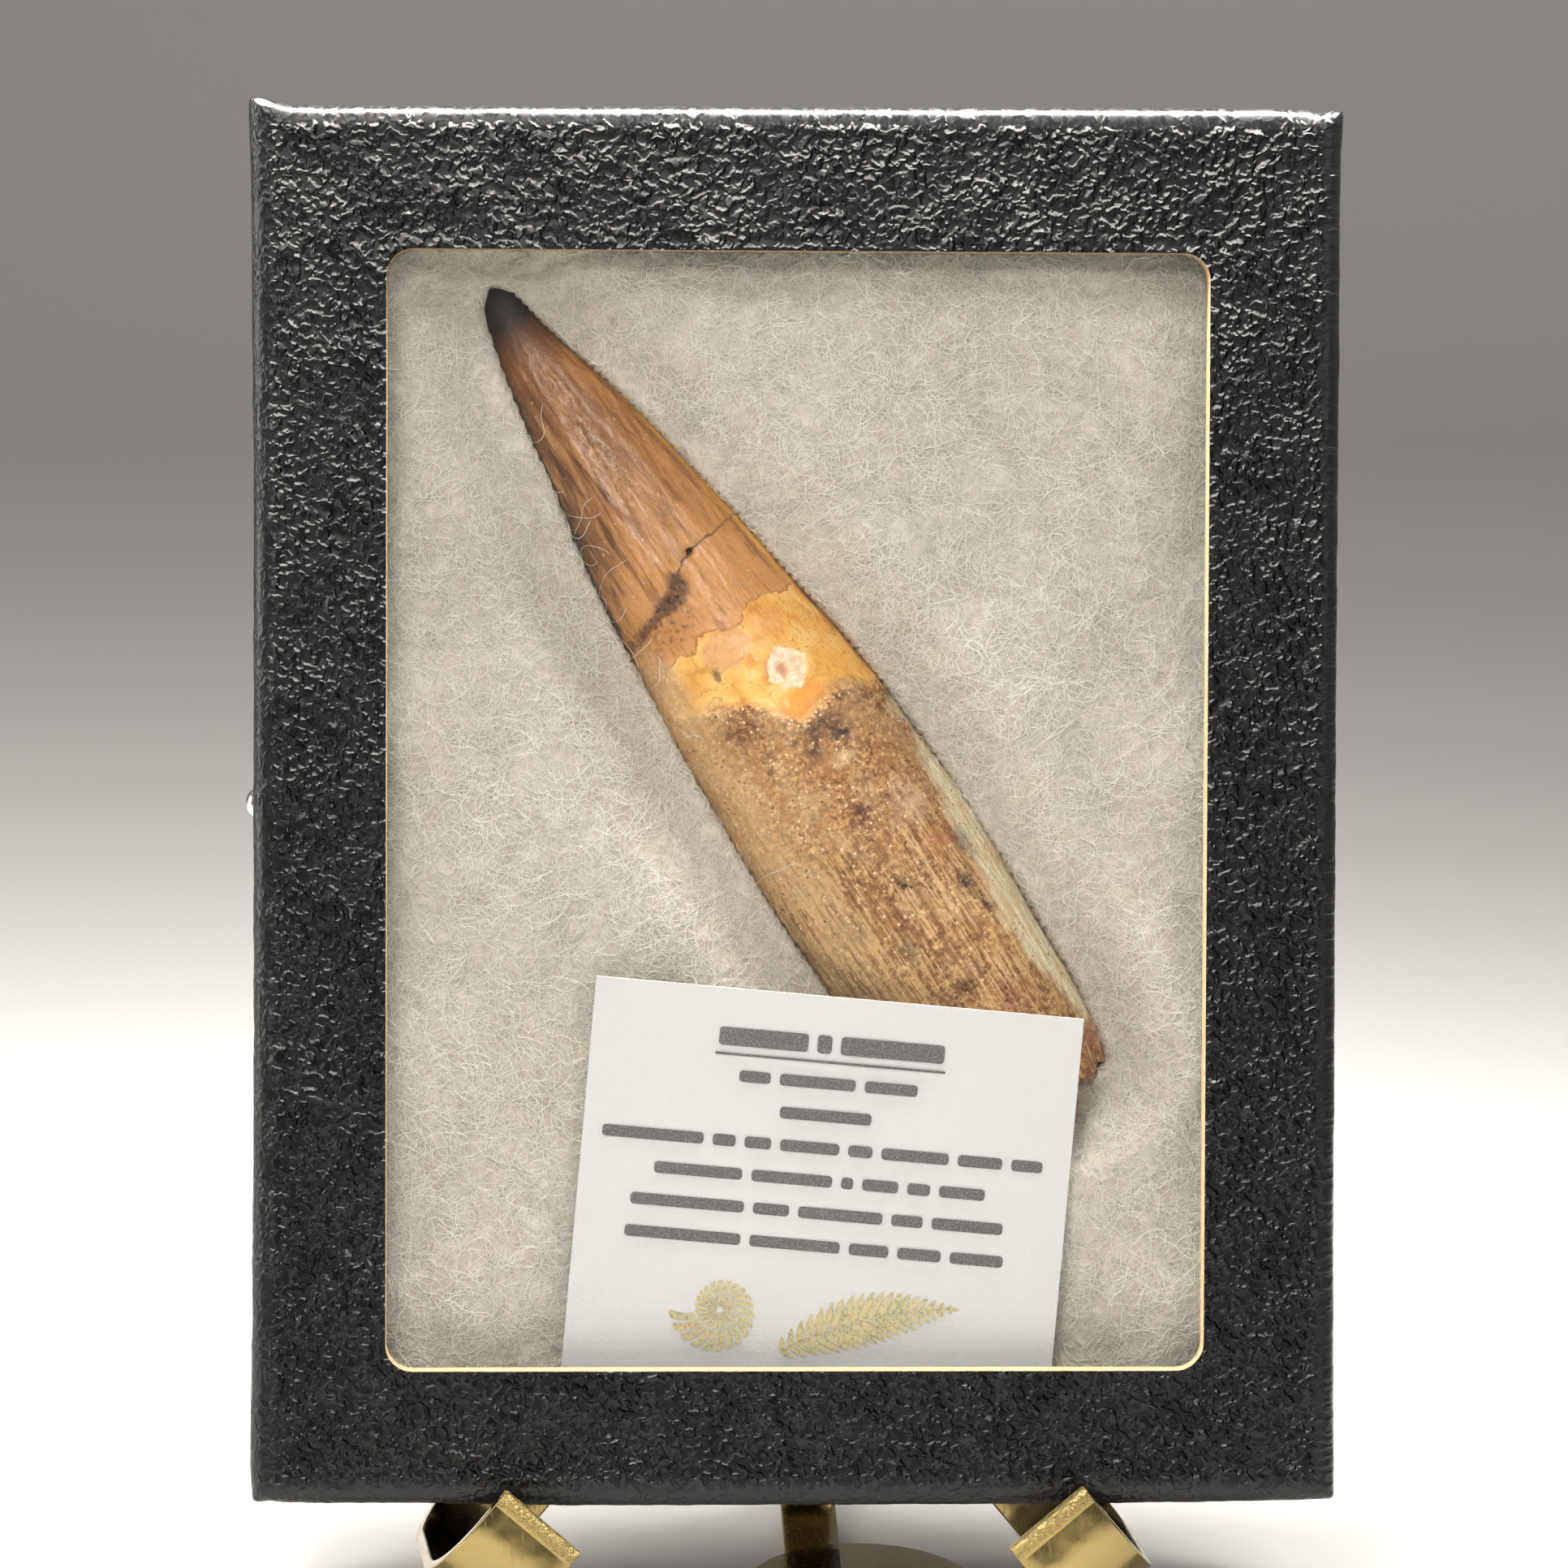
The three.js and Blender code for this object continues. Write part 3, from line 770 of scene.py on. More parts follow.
def tooth_spot(u, v):
    """A point of the face as (across, along) on the tooth."""
    spot_at = Vector((u, v)) - TOOTH_TIP
    sin, cos = math.sin(TOOTH_TURN), math.cos(TOOTH_TURN)
    return spot_at.x * cos + spot_at.y * sin, -spot_at.x * sin + spot_at.y * cos


def grit(x, y, z):
    """Rough ground between grains: sharp-edged lumps."""
    near, next_near = noise.voronoi(Vector((x, y, z)))[0][:2]
    return min(next_near - near, 0.6) - 0.25


def tooth_relief(x, t, z, angle):
    """How far the surface stands out from the smooth form, in millimetres."""
    crown = smoothstep(2.5, 8, t) * (1 - smoothstep(30, 35, t))
    front = smoothstep(-0.1, 0.3, math.sin(angle))
    wander = 0.9 * ruffle(x, t, z, 0.12) + 0.3 * ruffle(x, t, z, 0.5)
    flutes = 0.06 * math.cos(15 * angle + wander * 1.4) * crown * smoothstep(6, 14, t)
    lines = 0.07 * noise.noise(Vector((x * 2.2, t * 0.2, z * 2.2))) * crown
    peel = 0.035 * noise.noise(Vector((x * 2.6, t * 1.3, z * 2.6))) * crown
    edge = min(abs(math.sin(angle / 2)), abs(math.cos(angle / 2)))
    nicks = 1 - 0.7 * smoothstep(0.15, 0.45, ruffle(x, t, 8, 0.55))
    carina = 0.16 * bell(edge, 0.06) * smoothstep(3, 8, t) * (1 - smoothstep(42, 52, t)) * nicks
    crack_at = reading(CRACK, x) + 0.2 * ruffle(x, 0, 1, 1.7) + 0.12 * ruffle(x, 0, 5, 5)
    crack = -0.12 * bell(t - crack_at, 0.18) * (0.4 + 0.6 * smoothstep(-5, -2, x)) * front
    gouge = bell(x - 0.9, 0.9) * bell(t - 29.3, 1.2)
    gouge = max(gouge, 0.8 * bell(x - 2.3, 1.6) * bell(t - 30.2, 0.8)) * front
    trail = bell(t - crack_at, 0.8) * smoothstep(0, 2, x) * front
    browned = bell(x - 3.4, 3.2) * bell(t - 32.0, 2.0) * front
    rough = gouge + 0.6 * trail + 0.35 * browned
    marking = -0.42 * gouge - 0.16 * trail + 0.75 * rough * grit(x * 1.7, t * 1.7, z * 1.7)
    hole = -0.6 * bell(math.hypot(x + 1.5, t - 27.5), 0.3) * front
    in_patch = smoothstep(0, 0.35, t - reading(PATCH_TOP, x) - 0.3 * ruffle(x, t, 2, 1.3)) * (
        1 - smoothstep(-1.5, 1.5, t - reading(PATCH_FOOT, x))
    )
    patch = -0.17 + 0.06 * ruffle(x, t, z, 0.45) + 0.05 * ruffle(x, t, z, 1.2)
    patch = (patch + 0.04 * grit(x * 0.9, t * 0.9, z)) * in_patch
    chip_x = abs(x - CHIP_MIDDLE[0] + 0.2 * ruffle(x, t, 3, 1)) * CHIP_SHAPE[0]
    chip_t = abs(t - CHIP_MIDDLE[1] + 0.2 * ruffle(x, t, 9, 1)) * CHIP_SHAPE[1]
    chip = -0.14 * (1 - smoothstep(0.94, 1.1, max(chip_x, chip_t) + chip_x * chip_t))
    chip *= 1 + 0.5 * ruffle(x, t, 1, 1.1)
    below = smoothstep(-1.0, 2.5, t - reading(PATCH_FOOT, x))
    lumps = below * 0.13 * (math.sin(3 * angle + t / 5) + math.sin(5 * angle - t / 3))
    grains = (
        0.2 * grit(x * 1.25, t * 1.1, z * 1.25)
        + 0.1 * ruffle(x, t, z, 0.8)
        + 0.14 * noise.noise(Vector((x * 2.4, t * 1.9, z * 2.4)))
    )
    grains *= below * (1 - 0.5 * smoothstep(56, 66, t))
    fibrous = smoothstep(50, 58, t) * 0.14 * noise.noise(Vector((x * 2.1, t * 0.16, z * 2.1)))
    fibrous += smoothstep(50, 58, t) * 0.08 * noise.noise(Vector((x * 4.5, t * 0.4, z * 4.5)))
    pits = 0.0
    for pit_x, pit_t, reach, depth in ROOT_PITS:
        away = math.hypot(x - pit_x, t - pit_t)
        if away < 2.5 * reach:
            pits -= depth * bell(away, reach) * (0.6 + 0.8 * abs(ruffle(x, t, 6, 1.8)))
    smooth = flutes + lines + peel + carina + crack + marking + hole
    return smooth * (1 - in_patch * front) + patch + chip * front + lumps + grains + fibrous + pits * front


# The white chip in the bare patch: its middle across and along, and one over half its width and length.
CHIP_MIDDLE = (-2.85, 40.0)
CHIP_SHAPE = (0.54, 0.5)
# Across, along, reach and depth of the root's larger pits.
ROOT_PITS = (
    (-5.2, 62.9, 0.55, 0.5),
    (-5.5, 64.4, 0.6, 0.55),
    (-6.0, 66.2, 0.35, 0.4),
    (-0.7, 60.3, 0.35, 0.35),
    (-2.4, 45.9, 0.8, 0.3),
    (-3.7, 46.8, 0.9, 0.35),
    (-0.8, 47.1, 0.6, 0.3),
    (1.8, 65.2, 0.5, 0.25),
    (-1.0, 53.4, 0.9, 0.3),
    (-0.5, 70.4, 0.6, 0.35),
    (3.0, 57.5, 0.45, 0.3),
)

TOOTH_ROWS = 386
TOOTH_AROUND = 236
FRONT_SHARE = 0.72


def tooth_angle(column):
    """More columns on the side that shows than on the side in the padding."""
    share = column / TOOTH_AROUND
    shown = math.pi + 2 * math.radians(14)
    if share < FRONT_SHARE:
        return -math.radians(14) + shown * share / FRONT_SHARE
    return -math.radians(14) + shown + (math.tau - shown) * (share - FRONT_SHARE) / (1 - FRONT_SHARE)


def tooth_mesh():
    caps = 10
    last = TOOTH_ROWS - caps

    def place(column, row):
        angle = tooth_angle(column % TOOTH_AROUND)
        share = 1.0
        if row <= last:
            close = row / last
            along = TOOTH_LENGTH * (0.12 * close**2 + 0.88 * close) if row else 0.0
        else:
            along = TOOTH_LENGTH
            share = 1 - (row - last) / caps
        middle, half = tooth_sides(along)
        x = middle + half * share * math.cos(angle)
        z = TOOTH_FLATTENING * half * share * math.sin(angle)
        rooted = smoothstep(76, 82.5, along)
        ragged = 0.55 * ruffle(x, 3.0, z, 0.35) + 0.5 * ruffle(x, 5.0, z, 0.9) + 0.2 * ruffle(x, 8.0, z, 2.2)
        if share < 1:
            ragged -= 0.7 * (1 - share) + 0.5 * ruffle(x, 2.0, z, 0.5) * (1 - share)
        if share == 1 and row:
            relief = tooth_relief(x, along, z, angle)
            nx, nz = math.cos(angle) * TOOTH_FLATTENING, math.sin(angle)
            length = math.hypot(nx, nz)
            fade = smoothstep(0, 1.5, along)
            x += relief * fade * nx / length
            z += relief * fade * nz / length
            narrow = 1 - 0.05 * smoothstep(79.5, 82.5, along)
            x, z = x * narrow, z * narrow
        return x, along + ragged * rooted, z

    bm = sheet_of(TOOTH_AROUND, TOOTH_ROWS, place)
    close_and_face_out(bm)
    return bm


# Distance from the tip, then the tooth's half width as its colours read it.
HALF_WIDTH = (
    (0.0, 1.4), (6.0, 2.85), (11.5, 4.1), (27.7, 7.0), (44.0, 8.9), (60.0, 9.35), (72.0, 9.05), (82.5, 7.9),
)
# Distance from the tip, then where the root's cream strip begins across it.
CREAM_BORDER = (
    (44.0, -9.6), (47.0, -8.4), (55.0, -7.7), (62.0, -6.7),
    (67.0, -5.8), (72.0, -6.1), (78.0, -6.9), (82.5, -7.6),
)
# Distance across the tooth, then where the bare patch begins and ends along it.
PATCH_TOP = (
    (-9.0, 34.2), (-6.4, 34.6), (-4.5, 33.8), (-3.0, 33.7), (-1.9, 34.7), (-0.7, 34.8), (0.8, 33.9),
    (1.9, 33.8), (2.8, 34.9), (4.1, 34.3), (5.6, 34.8), (6.9, 36.2), (9.0, 39.0),
)
PATCH_FOOT = (
    (-9.0, 45.5), (-7.7, 45.0), (-6.8, 43.9), (-4.9, 43.6), (-3.0, 44.1), (-1.2, 43.7), (0.2, 42.2),
    (1.4, 41.0), (2.9, 40.2), (4.2, 39.1), (5.8, 38.4), (7.5, 37.3), (9.0, 37.0),
)
# Middle, reach, colour and strength of the root's stains.
ROOT_STAINS = (
    ((-2.4, 45.6), (3.2, 1.5), (84, 58, 52), 0.6),
    ((-3.6, 46.8), (2.0, 1.6), (70, 54, 58), 0.6),
    ((-0.8, 47.2), (1.6, 1.3), (72, 54, 48), 0.5),
    ((3.4, 42.4), (3.0, 2.0), (128, 78, 42), 0.6),
    ((-2.6, 48.8), (1.5, 1.0), (252, 226, 180), 0.6),
    ((-5.2, 54.8), (2.3, 3.0), (234, 196, 164), 0.6),
    ((-1.2, 53.6), (1.9, 2.2), (112, 62, 48), 0.65),
    ((-5.4, 58.8), (1.7, 1.9), (202, 126, 82), 0.55),
    ((-7.2, 60.4), (1.0, 2.4), (146, 142, 136), 0.55),
    ((-5.3, 63.2), (1.3, 1.4), (56, 44, 42), 0.7),
    ((-5.8, 65.4), (0.7, 1.4), (64, 50, 46), 0.6),
    ((1.8, 50.4), (3.2, 2.0), (214, 178, 132), 0.4),
    ((5.6, 56.2), (2.6, 3.6), (222, 186, 140), 0.5),
    ((4.6, 61.2), (2.0, 2.0), (164, 142, 112), 0.45),
    ((1.8, 65.2), (1.2, 2.6), (150, 128, 98), 0.5),
    ((-0.5, 70.4), (1.4, 1.3), (104, 64, 52), 0.7),
    ((-3.2, 73.6), (2.8, 2.2), (186, 110, 84), 0.5),
    ((-0.8, 60.4), (0.6, 0.9), (76, 56, 44), 0.7),
    ((-6.6, 80.4), (1.8, 3.0), (178, 112, 88), 0.75),
)
STAIN_STRENGTH = 1.5
ENAMEL_ROUGHNESS = 0.27
PATCH_ROUGHNESS = 0.42
ROOT_ROUGHNESS = 0.56
# Colours of the enamel from the tip on, by the share of its length.
ENAMEL_LENGTH = 36.0
ENAMEL_SHADES = (
    (0.0, (22, 14, 13)),
    (0.09, (30, 18, 15)),
    (0.19, (121, 75, 39)),
    (0.3, (132, 84, 46)),
    (0.55, (160, 108, 66)),
    (0.75, (193, 136, 82)),
    (1.0, (216, 152, 88)),
)
PATCH_SHADES = (
    (0.32, (214, 138, 52)), (0.45, (236, 172, 84)), (0.56, (240, 186, 106)), (0.7, (243, 198, 126))
)
SAND_SHADES = ((0.35, (76, 47, 33)), (0.45, (154, 102, 60)), (0.53, (202, 147, 91)), (0.64, (246, 208, 158)))


class ToothPoint:
    """Where a point lies on the tooth, and where noise has moved it to, so that colours meet unevenly."""

    def __init__(self, tree):
        self.plain = own_millimetres(tree, TOOTH_PLACE)
        self.across, self.along, _ = split(tree, self.plain)
        self.loose = shaken(tree, self.plain, 0.35, 1.0)
        self.tight = shaken(tree, self.plain, 1.3, 0.38, 2)
        self.loose_across, self.loose_along, _ = split(tree, self.loose)
        self.tight_across, self.tight_along, _ = split(tree, self.tight)
        self.half_width = reading_nodes(tree, self.along, HALF_WIDTH)
        self.side = ratio(tree, self.across, self.half_width)
        self.tones = cloud(tree, stretch(tree, self.plain, (1.2, 0.16, 1.2)), 1.0, 4, 0.65)


def enamel_colour(tree, at):
    """Enamel by the distance from the tip, painted shade to the lower left and painted golden light to the
    upper right.

    Gives the colour, the ridge down the middle and its crackled parts, where a pale highlight is painted.
    """
    x, t, side = at.across, at.along, at.side
    body = ease(tree, at.loose_along, 5, 10)
    shaded = times(tree, times(tree, ease(tree, side, 0.3, 0.95), body), ease(tree, t, 23, 29, 1.0, 0.35))
    slanted = plus(tree, t, times(tree, x, -0.8))
    streaked = times(tree, ease(tree, t, 7, 13), ease(tree, slanted, 31, 25))
    lines = hairline(tree, stretch(tree, at.plain, (1.25, 0.035, 0.3)), 1.0, 0.06, 1)
    broken = cloud(tree, stretch(tree, at.plain, (1.0, 0.12, 1.0)), 1.0, 1)
    lines = times(tree, lines, ease(tree, broken, 0.4, 0.5))
    lines = times(tree, lines, ease(tree, x, -1.0, 2.0, 0.5, 1.2))
    ridge = times(tree, spot(tree, at.loose, (0.0, 15.5), (1.9, 13.0), 0.1), ease(tree, t, 4, 7))
    crackle = cloud(tree, stretch(tree, at.tight, (3.0, 1.2, 3.0)), 1.0, 3, 0.75)
    # Painted highlight: pale crackled plates along the ridge stand for its shine. The same mask also lifts
    # the bump.
    marking = times(tree, ridge, ease(tree, crackle, 0.42, 0.58))
    specks = ease(tree, cells(tree, at.plain, 1.1), 0.07, 0.12, 1.0, 0.0)
    # Painted light: a golden rim along the upper right edge, as if lit through.
    gold = times(tree, ease(tree, side, -0.86, -0.94), ease(tree, t, 5, 9))
    rim = ease(tree, ratio(tree, at.tight_across, at.half_width), 0.92, 1.0)
    colour = over(
        tree,
        shades(tree, ratio(tree, at.loose_along, ENAMEL_LENGTH), ENAMEL_SHADES),
        # Painted light: the upper right half is laid golden, as if lit.
        (times(tree, ease(tree, side, -0.2, -0.85), body), 0.5, (192, 130, 68)),
        (shaded, 0.55, (92, 60, 42)),
        (times(tree, ease(tree, at.tones, 0.5, 0.66), body), 0.5, (196, 146, 92)),
        (times(tree, ease(tree, at.tones, 0.5, 0.36), body), 0.5, (104, 68, 44)),
        (times(tree, lines, streaked), 0.62, (66, 38, 24)),
        # Painted highlight on the ridge's crackled plates.
        (marking, 0.55, (206, 162, 124)),
        (times(tree, ridge, ease(tree, crackle, 0.42, 0.32)), 0.6, (92, 62, 46)),
        (times(tree, specks, body), 0.5, (240, 214, 176)),
        (gold, 0.8, (232, 176, 88)),
        (times(tree, rim, ease(tree, t, 48, 40)), 0.75, (48, 32, 27)),
    )
    return colour, ridge, marking


def cracked(tree, at, enamel):
    """The crack: a hairline with a pit on the right, then grit to the left edge.

    Gives the colour and the part that is rough with grit.
    """
    away = unsigned(tree, minus(tree, at.tight_along, reading_nodes(tree, at.tight_across, CRACK)))
    hair = times(tree, ease(tree, away, 0.03, 0.2, 1.0, 0.0), ease(tree, at.across, -8, -2, 0.35, 0.8))
    grains = ease(tree, cells(tree, at.tight, 1.8), 0.15, 0.5)
    lump = larger(
        tree,
        spot(tree, at.tight, (0.9, 29.3), (1.2, 1.7), 0.4),
        spot(tree, at.tight, (2.2, 30.2), (2.2, 1.1), 0.4),
    )
    trail = times(tree, ease(tree, away, 0.2, 1.3, 1.0, 0.0), ease(tree, at.across, 1.5, 3))
    browned = larger(tree, trail, spot(tree, at.loose, (3.4, 32.0), (4.2, 2.6), 0.3))
    core = times(tree, ease(tree, away, 0.25, 0.7, 1.0, 0.0), ease(tree, at.across, 0.8, 2.4))
    core = times(tree, core, ease(tree, at.tones, 0.38, 0.5))
    pit = spot(tree, at.tight, (-1.5, 27.5), (0.42, 0.36), 0.5)
    colour = over(
        tree,
        enamel,
        (hair, 1.0, (60, 36, 24)),
        (browned, 0.75, tint(tree, grains, rgb(94, 58, 34), rgb(178, 122, 70))),
        (core, 0.85, tint(tree, grains, rgb(40, 26, 20), rgb(104, 68, 42))),
        (lump, 0.95, tint(tree, grains, rgb(34, 24, 20), rgb(112, 78, 54))),
        (pit, 1.0, (16, 10, 8)),
    )
    return colour, larger(tree, lump, browned)


def bare_patch_colour(tree, at):
    """Where the enamel has come away: cream and yellow-orange with a white chip."""
    patch = over(
        tree,
        shades(tree, cloud(tree, at.plain, 0.5, 4, 0.6), PATCH_SHADES),
        (spot(tree, at.tight, (0.6, 35.9), (2.4, 1.9), 0.8), 0.85, (212, 160, 104)),
        (spot(tree, at.loose, (-3.6, 36.0), (2.2, 2.0), 0.2), 0.5, (222, 152, 98)),
        (spot(tree, at.loose, (4.6, 36.8), (2.6, 1.8), 0.4), 0.6, (216, 158, 72)),
        (spot(tree, at.loose, (-2.6, 43.0), (3.2, 1.9), 0.3), 0.85, (226, 142, 44)),
        (spot(tree, at.loose, (-6.4, 42.0), (2.0, 2.6), 0.3), 0.6, (238, 172, 76)),
        (ease(tree, cloud(tree, at.plain, 2.0, 3, 0.7), 0.56, 0.68), 0.5, (194, 122, 56)),
        (hairline(tree, at.tight, 0.3, 0.012, 1), 0.4, (150, 92, 46)),
    )
    offset = stretch(tree, vector_calc(tree, "SUBTRACT", at.tight, (*CHIP_MIDDLE, 0)), (*CHIP_SHAPE, 0))
    cut_x, cut_t, _ = split(tree, vector_calc(tree, "ABSOLUTE", offset))
    chip = ease(tree, plus(tree, larger(tree, cut_x, cut_t), times(tree, cut_x, cut_t)), 1.0, 1.1, 1.0, 0.0)
    chalk = tint(
        tree, ease(tree, cloud(tree, at.plain, 1.6, 3), 0.4, 0.6), rgb(240, 222, 196), rgb(236, 198, 156)
    )
    flecks = ease(tree, cells(tree, at.tight, 1.9), 0.1, 0.2, 1.0, 0.0)
    flecked = larger(
        tree,
        spot(tree, at.loose, (-5.4, 39.4), (1.3, 1.9), 0.4),
        spot(tree, at.loose, (2.4, 37.5), (1.5, 1.3), 0.3),
    )
    return over(
        tree,
        tint(tree, chip, patch, chalk),
        (spot(tree, at.tight, (-2.3, 39.8), (0.7, 1.1), 0.3), 0.8, (196, 120, 78)),
        (times(tree, flecks, flecked), 0.95, (46, 34, 26)),
        (spot(tree, at.tight, (2.4, 37.4), (0.5, 1.0), 0.3), 0.8, (86, 70, 48)),
    )


def root_colour(tree, at, sand):
    """The root: sandy brown with stains, lengthwise fibres and pale specks painted on its grains as glints.
    Gives colour and the glints.
    """
    broad = cloud(tree, stretch(tree, at.plain, (1.0, 0.5, 1.0)), 0.3, 3)
    calm = cloud(tree, stretch(tree, at.plain, (1.0, 0.4, 1.0)), 0.55, 2)
    fibres = cloud(tree, stretch(tree, at.plain, (3.2, 0.2, 3.2)), 1.0, 4, 0.65)
    fibre_zone = ease(tree, at.loose_along, 50, 58)
    beside = minus(tree, reading_nodes(tree, at.along, CREAM_BORDER), at.loose_across)
    cream = tint(tree, ease(tree, fibres, 0.4, 0.58), rgb(240, 206, 156), rgb(255, 246, 214))
    mottled = ease(tree, cloud(tree, at.plain, 1.5, 4, 0.7), 0.42, 0.58, 0.25, 1.0)
    stains = [
        (times(tree, spot(tree, at.tight, centre, reach, 0.1), mottled), much * STAIN_STRENGTH, colour)
        for centre, reach, colour, much in ROOT_STAINS
    ]
    dark_grain = ease(tree, cells(tree, at.tight, 1.9), 0.1, 0.26, 1.0, 0.0)
    dark_where = ease(tree, cloud(tree, at.plain, 0.4, 2), 0.42, 0.6)
    grain_point = vector_calc(tree, "ADD", at.plain, (7.3, 2.9, 4.1))
    # Painted highlights: pale specks on some grains stand for glints, and there the root is also less rough.
    bright_grain = ease(tree, cells(tree, grain_point, 1.6), 0.14, 0.24, 1.0, 0.0)
    bright_where = cloud(tree, vector_calc(tree, "ADD", at.plain, (3.0, 8.0, 1.0)), 0.6, 2)
    glint_specks = times(tree, bright_grain, ease(tree, bright_where, 0.4, 0.56))
    glint_specks = times(tree, glint_specks, ease(tree, at.loose_along, 74, 62, 0.35, 1.0))
    colour = over(
        tree,
        shades(tree, sand, SAND_SHADES),
        (ease(tree, broad, 0.5, 0.66), 0.35, (166, 104, 54)),
        (ease(tree, broad, 0.5, 0.36), 0.3, (228, 190, 142)),
        # Painted light: the lower left side of the root is laid paler, as if lit.
        (ease(tree, at.side, 0.2, 0.8), 0.55, (252, 210, 156)),
        (ease(tree, calm, 0.44, 0.6), 0.4, (206, 150, 94)),
        (ease(tree, calm, 0.44, 0.3), 0.3, (224, 176, 136)),
        (times(tree, ease(tree, fibres, 0.5, 0.6), fibre_zone), 0.7, (238, 198, 142)),
        (times(tree, ease(tree, fibres, 0.5, 0.38), fibre_zone), 0.6, (124, 80, 46)),
        (ease(tree, beside, -0.3, 0.9), 0.96, cream),
        *stains,
        (times(tree, dark_grain, dark_where), 0.8, (46, 30, 26)),
        # Painted glints on the grains.
        (glint_specks, 0.9, (255, 234, 196)),
    )
    return colour, glint_specks


def rooted_share(tree, at, sand):
    """1 on the root and 0 on the crown, with a grainy border at the bare patch's foot."""
    above_foot = minus(tree, reading_nodes(tree, at.tight_across, PATCH_FOOT), at.loose_along)
    above_foot = plus(tree, above_foot, times(tree, minus(tree, sand, 0.5), 2.4))
    left_root = times(tree, ease(tree, at.loose_across, 4.2, 6.0), ease(tree, at.loose_along, 31, 35))
    return larger(tree, ease(tree, above_foot, 0.8, -0.8), times(tree, left_root, 0.75))


def fossil():
    """Enamel from a dark tip through red-brown to tan, a bare patch, and a sandy root."""
    made, tree, surface = material("fossil enamel and root", Coat_Roughness=0.2, Specular_IOR_Level=0.34)
    at = ToothPoint(tree)
    enamel, ridge, marking = enamel_colour(tree, at)
    enamel, gritty = cracked(tree, at, enamel)
    under_top = minus(tree, at.tight_along, reading_nodes(tree, at.tight_across, PATCH_TOP))
    bare = ease(tree, under_top, -0.05, 0.2)
    lip = ease(tree, unsigned(tree, under_top), 0.0, 0.14, 1.0, 0.0)
    lip = times(tree, lip, ease(tree, at.tones, 0.42, 0.55))
    skin = over(tree, tint(tree, bare, enamel, bare_patch_colour(tree, at)), (lip, 0.7, (110, 68, 36)))
    sand = cloud(tree, at.plain, 1.7, 4, 0.8)
    root, glint_specks = root_colour(tree, at, sand)
    rooted = rooted_share(tree, at, sand)
    feed(tree, surface.inputs["Base Color"], tint(tree, rooted, skin, root))

    shine = tint(tree, bare, grey(ENAMEL_ROUGHNESS), grey(PATCH_ROUGHNESS))
    shine = tint(tree, rooted, shine, grey(ROOT_ROUGHNESS))
    shine = plus(tree, shine, times(tree, minus(tree, at.tones, 0.5), 0.3))
    shine = plus(tree, shine, ease(tree, at.along, 9, 4, 0.0, 0.25))
    shine = minus(tree, shine, times(tree, ridge, 0.1))
    shine = plus(tree, shine, times(tree, gritty, 0.22))
    feed(tree, surface.inputs["Roughness"], minus(tree, shine, times(tree, glint_specks, 0.4)))
    gloss = times(tree, minus(tree, 1.0, rooted), minus(tree, 1.0, gritty))
    feed(tree, surface.inputs["Coat Weight"], times(tree, gloss, ease(tree, at.along, 4, 9, 0.04, 0.25)))
    peel = cloud(tree, stretch(tree, at.plain, (2.6, 1.2, 2.6)), 1.0, 3, 0.6)
    skin_height = plus(tree, times(tree, peel, 0.14), times(tree, marking, 0.05))
    height = tint(tree, rooted, skin_height, times(tree, sand, 0.7))
    feed(tree, surface.inputs["Normal"], bumped(tree, height))
    return made


# ---- padding and its fibres ----


def padding_front(u, v, tufts=1.0):
    """Height of the filling's front. It dips to the tooth's flanks and runs on beneath it."""
    across, along = tooth_spot(u, v)
    reached = min(max(along, 0.0), TOOTH_LENGTH)
    middle, half = tooth_sides(max(reached, 0.2))
    side = abs(across - middle)
    past = along - reached
    away = math.hypot(max(side - half, 0.0), past) if side > half or past else side - half
    full = smoothstep(0, PADDING_REACH, away)
    puff = 0.45 * math.sin(u / 5 + math.sin(v / 9)) * math.sin(v / 7 + math.sin(u / 8))
    tuft = 0.3 * ruffle(u, v, 2, 0.13) + 0.22 * ruffle(u, v, 4, 0.42) * tufts
    tuft += 0.1 * ruffle(u, v, 9, 1.1) * tufts
    height = lerp(PADDING_AT_TOOTH, PADDING_FRONT, full) + (puff + tuft) * (0.15 + 0.85 * full)
    if away < 0:
        beneath = TOOTH_DEPTH - TOOTH_FLATTENING * math.sqrt(max(half**2 - side**2, 0)) - 0.5
        height = lerp(height, beneath, smoothstep(0, 0.8, -away))
    return min(height, -4.4)


PADDING_COLUMNS = 150
PADDING_ROWS = 194


def padding_mesh():
    def place(column, row):
        u = PADDING_WIDTH * (column / PADDING_COLUMNS - 0.5)
        v = CASE_MIDDLE + PADDING_HEIGHT * (row / PADDING_ROWS - 0.5)
        return u, v, padding_front(u, v)

    bm = sheet_of(PADDING_COLUMNS, PADDING_ROWS, place)
    rim = [e for e in bm.edges if e.is_boundary]
    for depth in (-11.0, -16.0, PADDING_BACK):
        made = bmesh.ops.extrude_edge_only(bm, edges=rim)["geom"]
        for vert in (g for g in made if isinstance(g, bmesh.types.BMVert)):
            vert.co.z = depth
            if depth > PADDING_BACK:
                vert.co.x *= 1 + 0.002 * ruffle(vert.co.x, vert.co.y, depth, 0.3)
        rim = [g for g in made if isinstance(g, bmesh.types.BMEdge)]
    close_and_face_out(bm)
    return bm


def filling():
    made, tree, surface = material("fibre filling", Roughness=0.9)
    point = own_millimetres(tree, FACE)
    base = tint(
        tree, ease(tree, cloud(tree, point, 0.09, 2), 0.35, 0.65), rgb(200, 193, 179), rgb(189, 181, 167)
    )
    tuft = cloud(tree, point, 0.9, 2, 0.7)
    base = over(
        tree,
        base,
        (ease(tree, tuft, 0.52, 0.32), 0.4, (164, 155, 140)),
        (ease(tree, tuft, 0.52, 0.68), 0.5, (222, 216, 203)),
    )
    feed(tree, surface.inputs["Base Color"], base)
    feed(tree, surface.inputs["Normal"], bumped(tree, times(tree, tuft, 0.45), 0.8))
    return made


